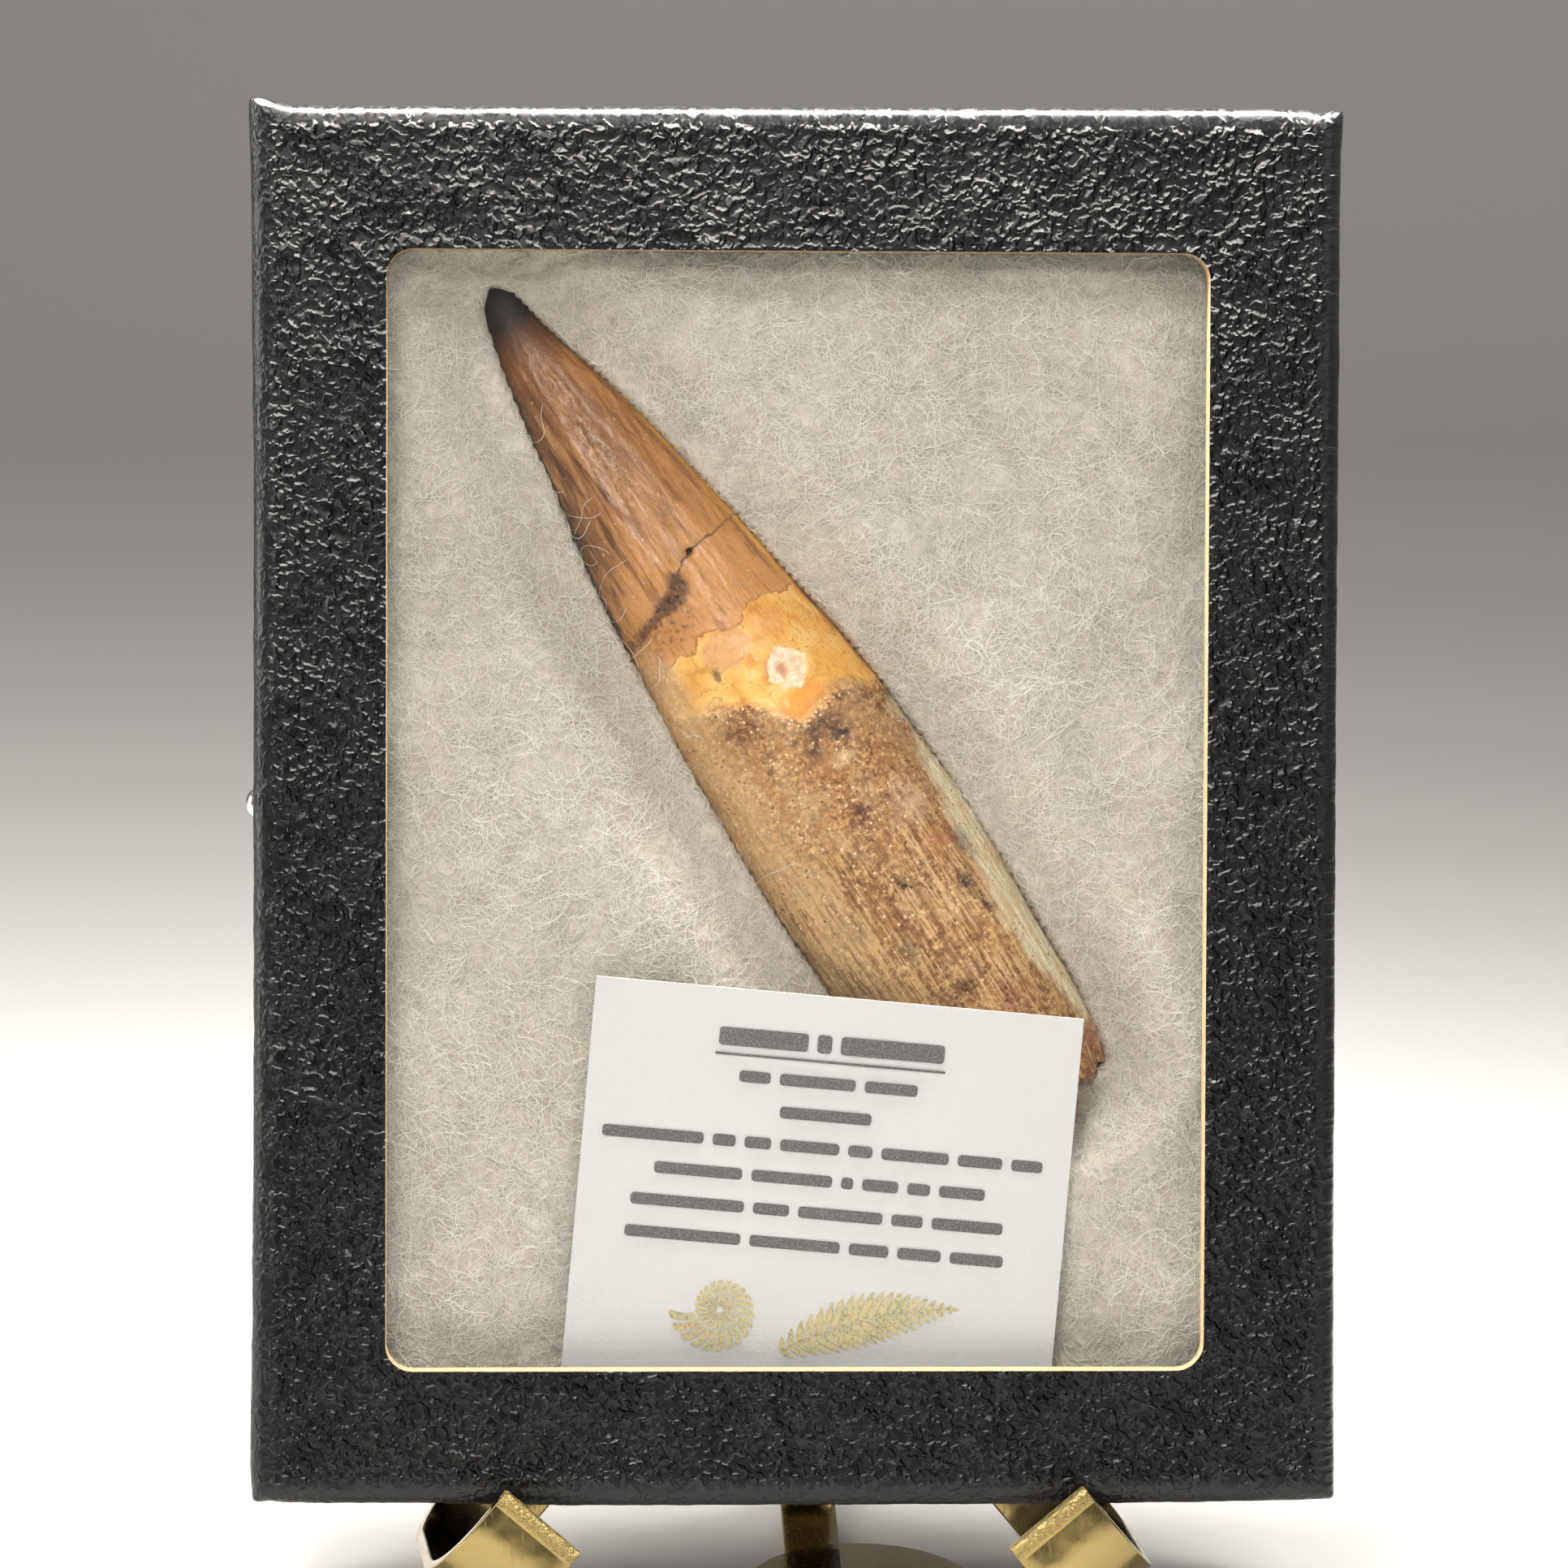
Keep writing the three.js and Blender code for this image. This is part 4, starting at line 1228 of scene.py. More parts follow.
def strand():
    made, tree, surface = material("filling fibres", Roughness=0.4, Specular_IOR_Level=0.5)
    point = own_millimetres(tree, FACE)
    shade = cloud(tree, point, 0.5, 1)
    feed(
        tree,
        surface.inputs["Base Color"],
        tint(tree, ease(tree, shade, 0.3, 0.7), rgb(234, 229, 219), rgb(246, 243, 236)),
    )
    return made


# Of the fibres that stray onto the tooth: place along it, across it as a share of its half width,
# spread along it and number.
STRAYS = ((13.0, 1.0, 5.0, 6), (20.5, 0.95, 3.5, 8), (31.0, 1.0, 5.0, 7), (48.0, 1.0, 14.0, 13))
# How high fibres arch, how far they run on behind the lid, and the tooth's height that they keep below.
LIFTS = (0.05, 0.12, 0.24, 0.45)
FIBRES_PAST_WINDOW = 1.5
FIBRE_STEPS = 12
HIGH_ON_TOOTH = -11.3


def under_card(u, v, margin=0.0):
    """True behind the label card."""
    offset = Vector((u - CARD_CORNER.x, v - CARD_CORNER.y))
    cos, sin = math.cos(CARD_TURN), math.sin(CARD_TURN)
    along, up = offset.x * cos + offset.y * sin, -offset.x * sin + offset.y * cos
    return -margin < along < CARD_WIDTH + margin and -CARD_HEIGHT - margin < up < margin


def tooth_front(u, v):
    """Height of the tooth's front under a point of the face, or None beside it."""
    across, along = tooth_spot(u, v)
    if not 0.1 < along < TOOTH_LENGTH:
        return None
    middle, half = tooth_sides(along)
    inside = half**2 - (across - middle) ** 2
    return TOOTH_DEPTH + TOOTH_FLATTENING * math.sqrt(inside) if inside > 0 else None


def fibre_path(rng, u, v, length, lift, over_tooth=False):
    """One crimped fibre that starts at a point of the face, or None where it has no room."""
    step = length / FIBRE_STEPS
    heading = rng.uniform(0, math.tau)
    bend = rng.choice((-1, 1)) * rng.choice((rng.uniform(0.05, 0.4), rng.uniform(0.3, 1.1)))
    crimp = rng.uniform(0.2, 1.1)
    wave = rng.uniform(1.6, 4.2)
    phase = rng.uniform(0, math.tau)
    path = []
    for k in range(FIBRE_STEPS + 1):
        share = k / FIBRE_STEPS
        base = padding_front(u, v, 0.6)
        on_tooth = tooth_front(u, v)
        if on_tooth is not None:
            if over_tooth:
                base = max(base, on_tooth)
            elif on_tooth > base + 0.9:
                break
        w = base + 0.05 + lift * math.sin(math.pi * share) ** 0.8
        w = min(w, -4.05 if under_card(u, v, 1.0) else -3.35)
        path.append((u, v, w))
        heading += (bend + crimp * math.sin(math.tau * share * length / wave + phase)) * step
        u += math.cos(heading) * step
        v += math.sin(heading) * step
        if abs(u) > PADDING_WIDTH / 2 - 1 or abs(v - CASE_MIDDLE) > PADDING_HEIGHT / 2 - 1:
            break
    return path if len(path) > 6 else None


def padding_fibres(rng, count):
    """Paths of fibres that lie on the padding in the window, but not under the card or on the tooth."""
    half_width = WINDOW_WIDTH / 2 + FIBRES_PAST_WINDOW
    half_height = WINDOW_HEIGHT / 2 + FIBRES_PAST_WINDOW
    paths = []
    while len(paths) < count:
        u = rng.uniform(-half_width, half_width)
        v = WINDOW_MIDDLE + rng.uniform(-half_height, half_height)
        if under_card(u, v, -1.5):
            continue
        on_tooth = tooth_front(u, v)
        if on_tooth is not None and on_tooth > HIGH_ON_TOOTH:
            continue
        length = rng.choice((rng.uniform(3, 6), rng.uniform(4.5, 9)))
        lift = rng.choice(LIFTS) * rng.uniform(0.5, 1.5)
        path = fibre_path(rng, u, v, length, lift)
        if path:
            paths.append(path)
    return paths


def stray_fibres(rng):
    """Paths of the few fibres that lie across the tooth's edges."""
    sin, cos = math.sin(TOOTH_TURN), math.cos(TOOTH_TURN)
    paths = []
    for along, across, spread_by, count in STRAYS:
        for _ in range(count):
            t = along + rng.uniform(-spread_by, spread_by)
            middle, half = tooth_sides(t)
            x = middle + across * half
            u = TOOTH_TIP.x + x * cos - t * sin
            v = TOOTH_TIP.y + x * sin + t * cos
            path = fibre_path(rng, u, v, rng.uniform(2, 4.5), rng.uniform(0.05, 0.25), over_tooth=True)
            if path:
                paths.append(path)
    return paths


def fibre_bundle(name, paths, radius, rng, section):
    """Many fibres as one mesh of three-sided tubes."""
    curve = bpy.data.curves.new(name, "CURVE")
    curve.dimensions = "3D"
    curve.bevel_mode = "OBJECT"
    curve.bevel_object = section
    curve.use_fill_caps = True
    for path in paths:
        spline = curve.splines.new("POLY")
        spline.points.add(len(path) - 1)
        thick = radius * rng.uniform(0.7, 1.3)
        flat = [value for point in path for value in (*point, 1.0)]
        spline.points.foreach_set("co", flat)
        last = len(path) - 1
        spline.points.foreach_set(
            "radius", [thick * (0.45 if k in (0, last) else 1.0) for k in range(last + 1)]
        )
    holder = bpy.data.objects.new(name + "_line", curve)
    bpy.context.scene.collection.objects.link(holder)
    bpy.context.view_layer.update()
    mesh = bpy.data.meshes.new_from_object(holder.evaluated_get(bpy.context.evaluated_depsgraph_get()))
    mesh.name = name
    mesh.materials.clear()
    bpy.data.objects.remove(holder)
    bpy.data.curves.remove(curve)
    return mesh


def three_sided_section():
    curve = bpy.data.curves.new("fibre_section", "CURVE")
    spline = curve.splines.new("POLY")
    spline.points.add(2)
    spline.use_cyclic_u = True
    for k, point in enumerate(spline.points):
        angle = math.tau * k / 3
        point.co = (math.cos(angle), math.sin(angle), 0, 1)
    section = bpy.data.objects.new("fibre_section", curve)
    bpy.context.scene.collection.objects.link(section)
    return section


# ---- label card ----


def card_mesh():
    bm = bmesh.new()
    bmesh.ops.create_cube(bm, size=1)
    bmesh.ops.scale(bm, verts=bm.verts, vec=(CARD_WIDTH, CARD_HEIGHT, CARD_THICKNESS))
    bmesh.ops.translate(bm, verts=bm.verts, vec=(CARD_WIDTH / 2, -CARD_HEIGHT / 2, -CARD_THICKNESS / 2))
    soften(bm, list(bm.edges), 0.05, 2)
    long_edges = [e for e in bm.edges if e.calc_length() > 5]
    bmesh.ops.subdivide_edges(bm, edges=long_edges, cuts=24, use_grid_fill=True)
    for vert in bm.verts:
        bow = 0.05 * ruffle(vert.co.x, vert.co.y, 1, 0.07)
        vert.co.z += bow - 0.05
    bmesh.ops.recalc_face_normals(bm, faces=bm.faces)
    return bm


def white_paper():
    made, tree, surface = material("white label paper", Roughness=0.7)
    point = own_millimetres(tree, CARD_PLACE)
    speck = use_effect(tree, fine_speckle(), (("Point", point), ("Scale", 3.5)))
    base = tint(tree, speck["Cloud"], rgb(200, 199, 200), rgb(197, 196, 196))
    base = over(tree, base, (speck["Specks"], 0.15, (193, 192, 190)))
    feed(tree, surface.inputs["Base Color"], base)
    feed(tree, surface.inputs["Roughness"], plus(tree, 0.62, times(tree, speck["Specks"], 0.14)))
    feed(tree, surface.inputs["Normal"], bumped(tree, times(tree, speck["Specks"], 0.008)))
    return made


PRINT_HEIGHT = 0.02
# Centre across the card, distance below its top, bar height and the widths of the bars in each printed line.
PRINTED_LINES = (
    (19.9, 4.0, 1.5, (7.4, 1.2, 8.6)),
    (19.9, 7.2, 0.95, (2.6, 6.3, 4.4)),
    (19.9, 9.9, 0.95, (7.6,)),
    (19.9, 12.6, 0.95, (8.4, 1.9, 2.2, 4.9, 2.0, 5.6, 3.7, 2.6)),
    (19.9, 15.3, 0.95, (7.3, 6.7, 1.0, 3.0, 1.9, 3.8)),
    (19.9, 18.0, 0.95, (9.4, 3.0, 7.0, 2.6, 5.9)),
    (19.9, 20.7, 0.95, (9.6, 7.5, 3.3, 3.6, 4.4)),
)


def printed_bars():
    """Plain bars in place of the lines of print, the heading with a rule under it."""
    bm = bmesh.new()
    bars = []
    for number, (middle, down, height, widths) in enumerate(PRINTED_LINES):
        space = 0.75
        left = middle - (sum(widths) + space * (len(widths) - 1)) / 2
        if number == 0:
            bars.append((middle, down + 1.45, sum(widths) + space * (len(widths) - 1) + 0.4, 0.2))
        for width in widths:
            bars.append((left + width / 2, down, width, height))
            left += width + space
    for across, down, width, height in bars:
        verts = bmesh.ops.create_cube(bm, size=1)["verts"]
        bmesh.ops.scale(bm, verts=verts, vec=(width, height, PRINT_HEIGHT))
        edges = list(
            {e for v in verts for e in v.link_edges if abs(e.verts[0].co.z - e.verts[1].co.z) > 0.001}
        )
        bmesh.ops.translate(bm, verts=verts, vec=(across, -down, PRINT_HEIGHT / 2 + 0.005))
        soften(bm, edges, min(0.3, height * 0.4), 3)
    bmesh.ops.recalc_face_normals(bm, faces=bm.faces)
    return bm


def ink():
    made, tree, surface = material("grey ink", Roughness=0.6)
    point = own_millimetres(tree, CARD_PLACE)
    patchy = cloud(tree, point, 6.0, 3)
    feed(
        tree,
        surface.inputs["Base Color"],
        tint(tree, ease(tree, patchy, 0.42, 0.7), rgb(74, 72, 74), rgb(120, 117, 116)),
    )
    feed(tree, surface.inputs["Roughness"], plus(tree, 0.5, times(tree, patchy, 0.2)))
    return made


def raise_print(bm, verts):
    """Gives a flat shape on the card the height of the print."""
    faces = list({f for v in verts for f in v.link_faces})
    made = bmesh.ops.extrude_face_region(bm, geom=faces)["geom"]
    top = [g for g in made if isinstance(g, bmesh.types.BMVert)]
    bmesh.ops.translate(bm, verts=top, vec=(0, 0, PRINT_HEIGHT))
    bmesh.ops.translate(bm, verts=verts + top, vec=(0, 0, 0.005))


def shell_rib(bm, centre, turned_by, sweep, reach, growth):
    """One rib of a coiled shell, between two turns of its spiral."""
    verts = bmesh.ops.create_grid(bm, x_segments=3, y_segments=4, size=1)["verts"]
    for vert in verts:
        share, across = (vert.co.x + 1) / 2, (vert.co.y + 1) / 2
        angle = turned_by + sweep * (share - 0.5) * (0.78 - 0.1 * across) + 0.16 * across**2
        outer = reach * math.exp(growth * angle)
        inner = outer * math.exp(-growth * math.tau) * 1.07
        distance = lerp(inner, outer * (0.96 + 0.04 * math.sin(math.pi * share)), across)
        vert.co.xy = centre + Vector((-math.cos(angle), math.sin(angle))) * distance
    raise_print(bm, verts)


def leaf(bm, base, heading, length, width):
    """A thin pointed leaf that lies on the card."""
    verts = bmesh.ops.create_circle(bm, cap_ends=True, segments=12, radius=1)["verts"]
    turn = Matrix.Rotation(heading, 2)
    for vert in verts:
        along, side = (vert.co.x + 1) / 2, vert.co.y
        vert.co.xy = base + turn @ Vector((along * length, side * width / 2 * (1 - 0.45 * along)))
    raise_print(bm, verts)


def fern_and_shell():
    """A coiled shell and a fern sprig, in the olive and tan of the card's picture."""
    bm = bmesh.new()
    turns, ribs, growth = 3.1, 22, 0.12
    for k in range(int(turns * ribs)):
        shell_rib(bm, Vector((12.6, -26.6)), math.tau * (k / ribs - turns), math.tau / ribs, 4.3, growth)
    stem = [Vector((18.0, -29.6)), Vector((22.0, -27.2)), Vector((26.2, -25.6)), Vector((31.4, -25.0))]
    for k in range(19):
        share = k / 18
        spine = stem[0].lerp(stem[1], share).lerp(stem[1].lerp(stem[2], share), share)
        spine = spine.lerp(stem[1].lerp(stem[2], share).lerp(stem[2].lerp(stem[3], share), share), share)
        heading = 0.52 * (1 - share) + 0.06
        size = 3.3 * math.sin(math.pi * (0.12 + 0.8 * share)) * (1 - 0.35 * share)
        for side in (-1, 1):
            leaf(bm, spine, heading + side * math.radians(58 - 14 * share), size, 0.5 * size**0.5)
        leaf(bm, spine, heading, 1.1, 0.3)
    bmesh.ops.recalc_face_normals(bm, faces=bm.faces)
    return bm


def picture_ink():
    made, tree, surface = material("olive and tan ink", Roughness=0.65)
    point = own_millimetres(tree, CARD_PLACE)
    broad = cloud(tree, point, 0.45, 2)
    dots = ease(tree, cells(tree, point, 4.5), 0.2, 0.5)
    base = shades(
        tree, broad, ((0.36, rgb(124, 114, 66)), (0.5, rgb(172, 146, 92)), (0.62, rgb(140, 136, 84)))
    )
    feed(tree, surface.inputs["Base Color"], tint(tree, times(tree, dots, 0.5), base, rgb(214, 206, 172)))
    feed(tree, surface.inputs["Roughness"], plus(tree, 0.55, times(tree, dots, 0.2)))
    return made


# ---- pin ----


def pin_mesh():
    profile = [(0.0, 1.0)]
    profile += [
        (1.18 * math.sin(a), 0.08 + 0.92 * math.cos(a)) for a in (math.radians(9 * k) for k in range(1, 11))
    ]
    profile += [(1.17, 0.03), (1.1, 0.0), (0.46, 0.0), (0.4, -0.08), (0.4, -7.0), (0.22, -8.2), (0.0, -9.0)]
    bm = turned(profile, 40)
    bmesh.ops.rotate(bm, verts=bm.verts, cent=(0, 0, 0), matrix=Matrix.Rotation(-math.pi / 2, 3, "Y"))
    bmesh.ops.translate(bm, verts=bm.verts, vec=(-CASE_WIDTH / 2 - GAP, CASE_MIDDLE, -9.5))
    return bm


def polished(name, colour, tarnish, rough):
    made, tree, surface = material(name, Metallic=1.0)
    point = own_millimetres(tree, STAND)
    speck = use_effect(tree, fine_speckle(), (("Point", point), ("Scale", 3.0)))
    scuffs = cloud(tree, stretch(tree, point, (2.0, 2.0, 0.25)), 1.6, 5, 0.7)
    base = tint(tree, ease(tree, speck["Cloud"], 0.3, 0.75), (*colour, 1), (*tarnish, 1))
    feed(tree, surface.inputs["Base Color"], base)
    marking = times(tree, ease(tree, scuffs, 0.45, 0.75), 0.16)
    cut = add(tree, "ShaderNodeAttribute", attribute_name="cut").outputs["Fac"]
    marking = plus(tree, marking, times(tree, cut, 0.12))
    feed(tree, surface.inputs["Roughness"], plus(tree, rough, marking))
    hammered = times(tree, times(tree, cloud(tree, point, 2.2, 4, 0.6), cut), 0.9)
    waves = times(tree, cloud(tree, point, 0.22, 2), 0.12)
    height = plus(tree, plus(tree, hammered, waves), times(tree, scuffs, 0.008))
    feed(tree, surface.inputs["Normal"], bumped(tree, height))
    return made


# ---- easel ----


def bent_line(corners, radius, bend_steps, pace):
    """Points along a bent line with round bends, each with the direction there."""
    points = []

    def run(begin, end, along):
        count = max(1, round((end - begin).length / pace))
        for k in range(count):
            points.append((begin.lerp(end, k / count), along))

    start = corners[0]
    for before, corner, after in zip(corners, corners[1:], corners[2:]):
        into = (corner - before).normalized()
        away = (after - corner).normalized()
        turn = math.atan2(into.cross(away), into.dot(away))
        reach = radius * math.tan(abs(turn) / 2)
        begin = corner - into * reach
        run(start, begin, into)
        centre = begin + Vector((-into.y, into.x)) * math.copysign(radius, turn)
        for k in range(bend_steps):
            spin = Matrix.Rotation(turn * k / bend_steps, 2)
            points.append((centre + spin @ (begin - centre), spin @ into))
        start = corner + away * reach
    along = (corners[-1] - corners[-2]).normalized()
    run(start, corners[-1], along)
    points.append((corners[-1], along))
    return points


def strip_section(width, thickness, round_off):
    """The strip's cross-section with soft edges: (across the width, through the thickness)."""
    section = []
    flat = 6
    for right, up, start in ((1, -1, -90), (1, 1, 0), (-1, 1, 90), (-1, -1, 180)):
        centre = (right * (width / 2 - round_off), up * (thickness / 2 - round_off))
        for k in range(5):
            angle = math.radians(start + 22.5 * k)
            section.append((centre[0] + round_off * math.cos(angle), centre[1] + round_off * math.sin(angle)))
        if right == up:
            section += [(centre[0] * (1 - 2 * k / flat), up * thickness / 2) for k in range(1, flat)]
    return section


def strip_mesh(corners, radius, width, spread):
    """A flat strip along a bent line. spread(point on the line, across it) gives its place."""
    line = bent_line(corners, radius, BEND_STEPS, STRIP_PACE)
    section = strip_section(width, STRIP, STRIP_ROUND)
    small = [(a * (1 - END_SMALLER / (width / 2)), b * (1 - END_SMALLER / (STRIP / 2))) for a, b in section]
    around = len(section)
    last = len(line) - 1
    set_in = {0: END_ROUND, last: -END_ROUND}
    rows = [(line[0], 0.0, small)]
    rows += [(place, set_in.get(k, 0.0), section) for k, place in enumerate(line)]
    rows += [(line[last], 0.0, small)]

    def place(column, row):
        (point, along), shift, shape = rows[row]
        across, through = shape[column % around]
        normal = Vector((-along.y, along.x))
        return spread(point + along * shift + normal * through, across)

    bm = sheet_of(around, len(rows) - 1, place)
    close_and_face_out(bm)
    return bm


def mark_cut(bm, near):
    """Marks the sheared ends, which are rougher than the rolled faces."""
    layer = bm.verts.layers.float.new("cut")
    for vert in bm.verts:
        vert[layer] = 1.0 if near(vert.co) else 0.0


ARM_ALONG = Vector((math.cos(ARM_ANGLE), math.sin(ARM_ANGLE), 0))
ARM_ACROSS = Vector((math.sin(ARM_ANGLE), -math.cos(ARM_ANGLE), 0))
LIP_MIDDLE = GAP + STRIP / 2
ARM_BACK = -CASE_DEPTH - 2 * GAP - RIVET_HEAD_HEIGHT - STRIP / 2
LAYER = STRIP + GAP
HOOK_CORNER = LIP_CORNER - ARM_ALONG * LIP_RISE
ARM_MIDDLE = HOOK_CORNER + ARM_ACROSS * ARM_WIDTH / 2 - Vector((ARM_SPLAY, 0, 0))
ARM_TO_RIVET = -ARM_MIDDLE.x / ARM_ALONG.x
RIVET_UP = ARM_MIDDLE.y + ARM_TO_RIVET * ARM_ALONG.y


# How far each arm leans outwards from the lip to its back.
LEFT_SPLAY = ARM_SPLAY + 0.5
RIGHT_SPLAY = -0.3


def arm_mesh(back, side, sideways):
    """One arm in the case's face: lip, hook under the case and run up behind it. side is 1 or -1."""
    rise = (ARM_BACK - back) * math.tan(LEAN)
    splay = sideways / (LIP_MIDDLE - back)
    corners = [
        Vector((LIP_RISE, LIP_MIDDLE)),
        Vector((0, LIP_MIDDLE)),
        Vector((0, back)),
        Vector((ARM_TO_RIVET + ARM_OVERRUN, back)),
    ]

    def spread(point, across):
        spot_at = HOOK_CORNER + ARM_ALONG * point.x + ARM_ACROSS * (across + ARM_WIDTH / 2)
        spot_at += Vector((splay * point.y, rise, point.y))
        return side * spot_at.x, spot_at.y, spot_at.z

    bm = strip_mesh(corners, ARM_BEND, ARM_WIDTH, spread)
    lip_end = HOOK_CORNER + ARM_ALONG * LIP_RISE

    def near(place):
        offset = Vector((side * place.x - splay * place.z, place.y - rise, 0)) - lip_end
        return place.z > -2 and offset.dot(ARM_ALONG) > -0.16

    mark_cut(bm, near)
    return bm


def leg_mesh():
    """The back leg in the standing frame, with its round foot."""
    def at(height):
        place = FACE @ Vector((0, height, ARM_BACK - 2 * LAYER))
        return Vector(((place.y - STAND_ORIGIN.y) / MM, place.z / MM))

    corners = [
        at(RIVET_UP + LEG_TAB_ABOVE),
        at(RIVET_UP - LEG_TAB_BELOW),
        Vector((LEG_BACK, STRIP / 2)),
        Vector((FOOT_CENTRE.y, STRIP / 2)),
    ]
    top = at(RIVET_UP).y

    def spread(point, across):
        crown = 0.3 * (2 * across / LEG_WIDTH) ** 2
        return across - LEG_SHIFT / top * (point.y - top), point.x + crown, point.y

    bm = strip_mesh(corners, LEG_BEND, LEG_WIDTH, spread)
    foot = bmesh.ops.create_circle(bm, cap_ends=True, segments=96, radius=FOOT_RADIUS)["verts"]
    face = list({f for v in foot for f in v.link_faces})
    made = bmesh.ops.extrude_face_region(bm, geom=face)["geom"]
    up = [g for g in made if isinstance(g, bmesh.types.BMVert)]
    bmesh.ops.translate(bm, verts=up, vec=(0, 0, STRIP))
    bmesh.ops.translate(bm, verts=foot + up, vec=FOOT_CENTRE)
    rims = [e for v in foot + up for e in v.link_edges if abs(e.verts[0].co.z - e.verts[1].co.z) < 0.1]
    soften(bm, list(set(rims)), 0.22, 3)
    bmesh.ops.recalc_face_normals(bm, faces=bm.faces)
    return bm


def rivet_mesh():
    stack = 3 * STRIP + 4 * GAP
    angles = [math.radians(9 * k) for k in range(11)]
    head = [(RIVET_HEAD * math.sin(a), RIVET_HEAD_HEIGHT * math.cos(a)) for a in angles]
    profile = [*head, (RIVET_HEAD - 0.06, 0.0), (1.0, 0.0), (1.0, -stack), (RIVET_HEAD - 0.06, -stack)]
    profile += [(radius, -stack - height) for radius, height in reversed(head)]
    bm = turned(profile, 40)
    bmesh.ops.translate(bm, verts=bm.verts, vec=(0, RIVET_UP, ARM_BACK + STRIP / 2 + GAP))
    return bm


# ---- the add-on ----


class CaseSettings(PropertyGroup):
    """Finish of the case."""

    paper: FloatVectorProperty(
        name="Paper",
        description="Colour of the black paper",
        default=(0.0035, 0.0033, 0.0036),
        subtype="COLOR",
        min=0,
        max=1,
    )
    pebble: FloatProperty(
        name="Pebbles", description="Pebbles of grain in a millimetre", default=1.25, min=0.3, max=5
    )


class FillingSettings(PropertyGroup):
    """Fibres on the padding."""

    bundles: IntProperty(
        name="Bundles", description="How many pieces the loose fibres make", default=5, min=1, max=5
    )
    each: IntProperty(name="Fibres each", description="Fibres in one bundle", default=2100, min=50, max=2300)
    thickness: FloatProperty(
        name="Thickness",
        description="Half a fibre's thickness",
        default=0.000023,
        unit="LENGTH",
        min=0.00001,
        max=0.0002,
    )
    seed: IntProperty(name="Seed", description="Start of the random draws", default=41)


class EaselSettings(PropertyGroup):
    """Finish of the easel."""

    brass: FloatVectorProperty(
        name="Brass",
        description="Colour of the easel's metal",
        default=(0.285, 0.215, 0.087),
        subtype="COLOR",
        min=0,
        max=1,
    )
    roughness: FloatProperty(
        name="Roughness", description="Roughness of the metal", default=0.17, subtype="FACTOR", min=0, max=1
    )


class StageSettings(PropertyGroup):
    """Light and floor."""

    floor: FloatVectorProperty(
        name="Floor",
        description="Colour of the floor",
        default=(0.72, 0.71, 0.69),
        subtype="COLOR",
        min=0,
        max=1,
    )
    key: FloatProperty(
        name="Upper light", description="Strength of the light above", default=0.75, unit="POWER", min=0
    )
    top: FloatProperty(
        name="Top light", description="Strength of the light close above", default=1.35, unit="POWER", min=0
    )
    near: FloatProperty(
        name="Near light",
        description="Strength of the light over the camera",
        default=0.3,
        unit="POWER",
        min=0,
    )
    side: FloatProperty(
        name="Side light", description="Strength of the light on the left", default=2.4, unit="POWER", min=0
    )
    front: FloatProperty(
        name="Front light", description="Strength of the light in front", default=1.9, unit="POWER", min=0
    )


CAMERA_LENS = 106.566
CAMERA_SENSOR = 36
# The eye's place in the face in millimetres and its turn, fitted to the case's corners in the photo.
EYE_PLACE = (-13.062, 70.92, 379.198)
EYE_TURN = [math.radians(a) for a in (-1.786, -1.804, 0.216)]
SURROUNDINGS = 0.24
LIGHT_COLOUR = (1.0, 0.97, 0.93)
CASE_CENTRE = (0.0, 0.0, 0.07)
# Name, place, what it points at, width and height, and the setting that holds its strength.
LIGHTS = (
    ("upper light", (-0.10, -0.27, 0.40), CASE_CENTRE, (0.11, 0.11), "key"),
    ("near light", (-0.04, -0.28, 0.235), (0.0, 0.0, 0.10), (0.13, 0.03), "near"),
    ("top light", FACE @ Vector((-4, 172, -2)), FACE @ Vector((-4, 110, -6)), (0.2, 0.03), "top"),
    ("side light", (-0.5, 0.0, 0.16), CASE_CENTRE, (0.3, 0.4), "side"),
    ("front light", (0.55, -0.80, 0.45), CASE_CENTRE, (0.7, 0.6), "front"),
)


def floor_mesh():
    """A floor that runs back and curves up into a wall."""
    bm = bmesh.new()
    sweep = [(-1.6, 0.0), (0.75, 0.0)]
    for k in range(1, 11):
        angle = math.radians(9 * k)
        sweep.append((0.75 + 0.5 * math.sin(angle), 0.5 - 0.5 * math.cos(angle)))
    sweep.append((1.25, 2.2))
    verts = [bm.verts.new((-2.2, y, z)) for y, z in sweep]
    edges = [bm.edges.new(pair) for pair in zip(verts, verts[1:])]
    made = bmesh.ops.extrude_edge_only(bm, edges=edges)["geom"]
    bmesh.ops.translate(bm, verts=[g for g in made if isinstance(g, bmesh.types.BMVert)], vec=(4.4, 0, 0))
    bmesh.ops.recalc_face_normals(bm, faces=bm.faces)
    mesh = bpy.data.meshes.new("floor")
    bm.to_mesh(mesh)
    bm.free()
    mesh.shade_smooth()
    return mesh


def pale_floor(colour):
    made, tree, surface = material("pale floor", Roughness=0.8)
    coordinates = tree.nodes.new("ShaderNodeTexCoord").outputs["Object"]
    darker = tuple(c * 0.96 for c in colour)
    clouded = tint(tree, cloud(tree, coordinates, 3.0, 2), (*colour, 1), (*darker, 1))
    feed(tree, surface.inputs["Base Color"], clouded)
    return made


def area_light(name, place, target, size, power):
    lamp = bpy.data.lights.new(name, "AREA")
    lamp.shape = "RECTANGLE"
    lamp.size, lamp.size_y = size
    lamp.energy = power
    lamp.color = LIGHT_COLOUR
    holder = bpy.data.objects.new(name, lamp)
    bpy.context.scene.collection.objects.link(holder)
    holder.location = place
    holder.rotation_euler = (Vector(target) - Vector(place)).to_track_quat("-Z", "Y").to_euler()


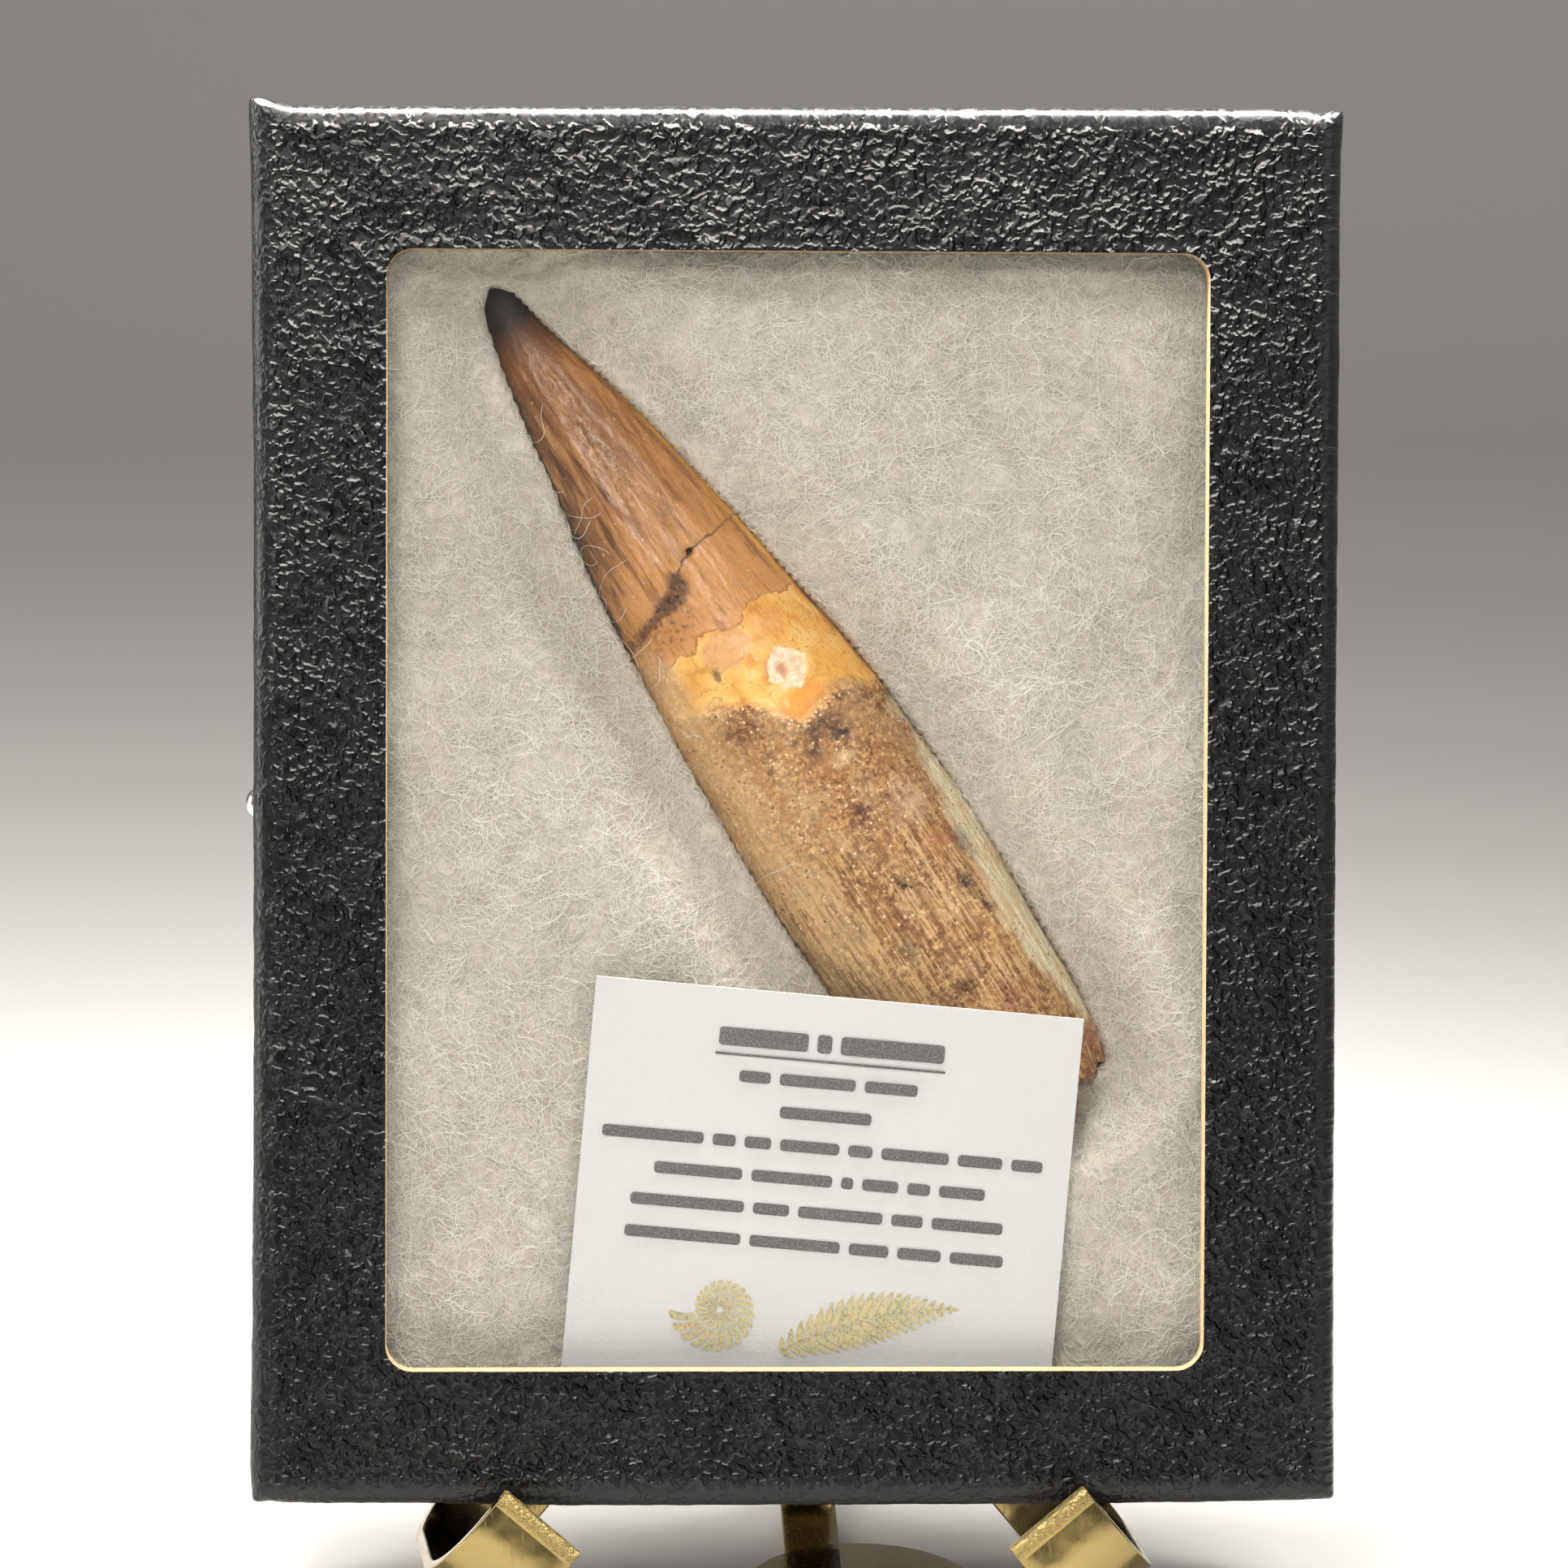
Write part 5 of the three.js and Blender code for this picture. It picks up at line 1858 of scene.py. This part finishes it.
def photo_camera():
    camera = bpy.data.cameras.new("camera")
    camera.sensor_fit = "HORIZONTAL"
    camera.sensor_width = CAMERA_SENSOR
    camera.lens = CAMERA_LENS
    camera.clip_start = 0.01
    camera.clip_end = 20
    eye = bpy.data.objects.new("camera", camera)
    bpy.context.scene.collection.objects.link(eye)
    placed = FACE @ Matrix.Translation(EYE_PLACE) @ Euler(EYE_TURN).to_matrix().to_4x4()
    eye.matrix_world = Matrix.LocRotScale(placed.to_translation(), placed.to_quaternion(), None)
    return eye


class STAGE_OT_build(Operator):
    """Lays the floor, sets the lights and places the camera"""

    bl_idname = "fossil_tooth.stage"
    bl_label = "Floor, lights and camera"

    def execute(self, context):
        scene = context.scene
        settings = scene.stage_settings
        scene.view_settings.view_transform = "Standard"
        world = bpy.data.worlds.new("soft surroundings")
        world.use_nodes = True
        world.node_tree.nodes["Background"].inputs[0].default_value = (1.0, 0.98, 0.95, 1)
        world.node_tree.nodes["Background"].inputs[1].default_value = SURROUNDINGS
        scene.world = world
        mesh = floor_mesh()
        mesh.materials.append(pale_floor(settings.floor))
        floor = bpy.data.objects.new("floor", mesh)
        scene.collection.objects.link(floor)
        for name, place, target, size, setting in LIGHTS:
            area_light(name, place, target, size, getattr(settings, setting))
        scene.camera = photo_camera()
        return {"FINISHED"}


class CASE_OT_build(Operator):
    """Builds the lid with its window, the tray behind it and the pane"""

    bl_idname = "fossil_tooth.case"
    bl_label = "Case"

    def execute(self, context):
        settings = context.scene.case_settings
        paper = leather_paper(settings.paper, settings.pebble)
        piece_from(lid_mesh(), "case_lid", [paper, raw_card()], nodes=["lid"])
        piece_from(tray_mesh(), "case_tray", [paper], nodes=["tray"], smooth=False)
        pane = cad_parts["glass"]
        pane.data.materials.clear()
        pane.data.materials.append(clear_glass())
        return {"FINISHED"}


class TOOTH_OT_build(Operator):
    """Builds the fossil tooth"""

    bl_idname = "fossil_tooth.tooth"
    bl_label = "Tooth"

    def execute(self, context):
        piece_from(tooth_mesh(), "fossil_tooth", [fossil()], place=TOOTH_PLACE, nodes=["tooth"])
        return {"FINISHED"}


class PADDING_OT_build(Operator):
    """Builds the fibre padding"""

    bl_idname = "fossil_tooth.padding"
    bl_label = "Padding"

    def execute(self, context):
        piece = piece_from(padding_mesh(), "padding_fill", [filling()], nodes=["padding"])
        return {"FINISHED"}


class FIBRES_OT_build(Operator):
    """Lays the loose fibres on the padding"""

    bl_idname = "fossil_tooth.fibres"
    bl_label = "Fibres"

    def execute(self, context):
        settings = context.scene.filling_settings
        rng = random.Random(settings.seed)
        section = three_sided_section()
        paint = strand()
        for number in range(settings.bundles):
            name = f"fibres_{number + 1}"
            paths = padding_fibres(rng, settings.each)
            dress(fibre_bundle(name, paths, settings.thickness / MM, rng, section), name, [paint])
        strays = stray_fibres(rng)
        mesh = fibre_bundle("stray_fibres", strays, settings.thickness / MM, rng, section)
        dress(mesh, "stray_fibres", [paint])
        bpy.data.objects.remove(section)
        return {"FINISHED"}


class LABEL_OT_build(Operator):
    """Builds the label card and its print"""

    bl_idname = "fossil_tooth.label"
    bl_label = "Label card"

    def execute(self, context):
        piece_from(
            card_mesh(),
            "label_paper",
            [white_paper()],
            place=CARD_PLACE,
            nodes=["label_card"],
            smooth=False,
        )
        piece_from(printed_bars(), "label_print", [ink()], place=CARD_PLACE, smooth=False)
        piece_from(
            fern_and_shell(), "label_picture", [picture_ink()], place=CARD_PLACE, smooth=False
        )
        return {"FINISHED"}


class PIN_OT_build(Operator):
    """Builds the pin in the case's side"""

    bl_idname = "fossil_tooth.pin"
    bl_label = "Pin"

    def execute(self, context):
        steel = polished("bright pin metal", (0.86, 0.85, 0.82), (0.7, 0.68, 0.64), 0.12)
        piece_from(pin_mesh(), "case_pin", [steel], nodes=["pin"])
        return {"FINISHED"}


class EASEL_OT_build(Operator):
    """Builds the easel's arms, back leg and rivet"""

    bl_idname = "fossil_tooth.easel"
    bl_label = "Easel"

    def execute(self, context):
        settings = context.scene.easel_settings
        tarnish = tuple(c * 0.8 for c in settings.brass)
        brass = polished("brass strip", settings.brass, tarnish, settings.roughness)
        left = arm_mesh(ARM_BACK, 1, LEFT_SPLAY)
        piece_from(left, "arm_left", [brass], nodes=["easel_arm_left"])
        right = arm_mesh(ARM_BACK - LAYER, -1, RIGHT_SPLAY)
        piece_from(right, "arm_right", [brass], nodes=["easel_arm_right"])
        piece_from(leg_mesh(), "back_leg", [brass], place=STAND, nodes=["easel_back_leg"])
        piece_from(rivet_mesh(), "rivet", [brass], nodes=["easel_rivet"])
        return {"FINISHED"}


STEPS = (
    STAGE_OT_build,
    CASE_OT_build,
    TOOTH_OT_build,
    PADDING_OT_build,
    FIBRES_OT_build,
    LABEL_OT_build,
    PIN_OT_build,
    EASEL_OT_build,
)
SETTINGS = (
    ("case_settings", CaseSettings),
    ("filling_settings", FillingSettings),
    ("easel_settings", EaselSettings),
    ("stage_settings", StageSettings),
)


class TOOTH_PT_panel(Panel):
    """Lists the steps that build the case, the tooth and the easel"""

    bl_idname = "TOOTH_PT_panel"
    bl_label = "Fossil tooth"
    bl_space_type = "VIEW_3D"
    bl_region_type = "UI"
    bl_category = "Fossil tooth"

    def draw(self, context):
        for name, group in SETTINGS:
            box = self.layout.box()
            for key in group.__annotations__:
                box.prop(getattr(context.scene, name), key)
        for step in STEPS:
            self.layout.operator(step.bl_idname)


def register():
    for name, group in SETTINGS:
        bpy.utils.register_class(group)
        setattr(bpy.types.Scene, name, PointerProperty(type=group))
    for step in (*STEPS, TOOTH_PT_panel):
        bpy.utils.register_class(step)


def unregister():
    for step in reversed((*STEPS, TOOTH_PT_panel)):
        bpy.utils.unregister_class(step)
    for name, group in reversed(SETTINGS):
        delattr(bpy.types.Scene, name)
        bpy.utils.unregister_class(group)


def main():
    register()
    for step in STEPS:
        group, name = step.bl_idname.split(".")
        getattr(getattr(bpy.ops, group), name)()


if __name__ == "__main__":
    main()
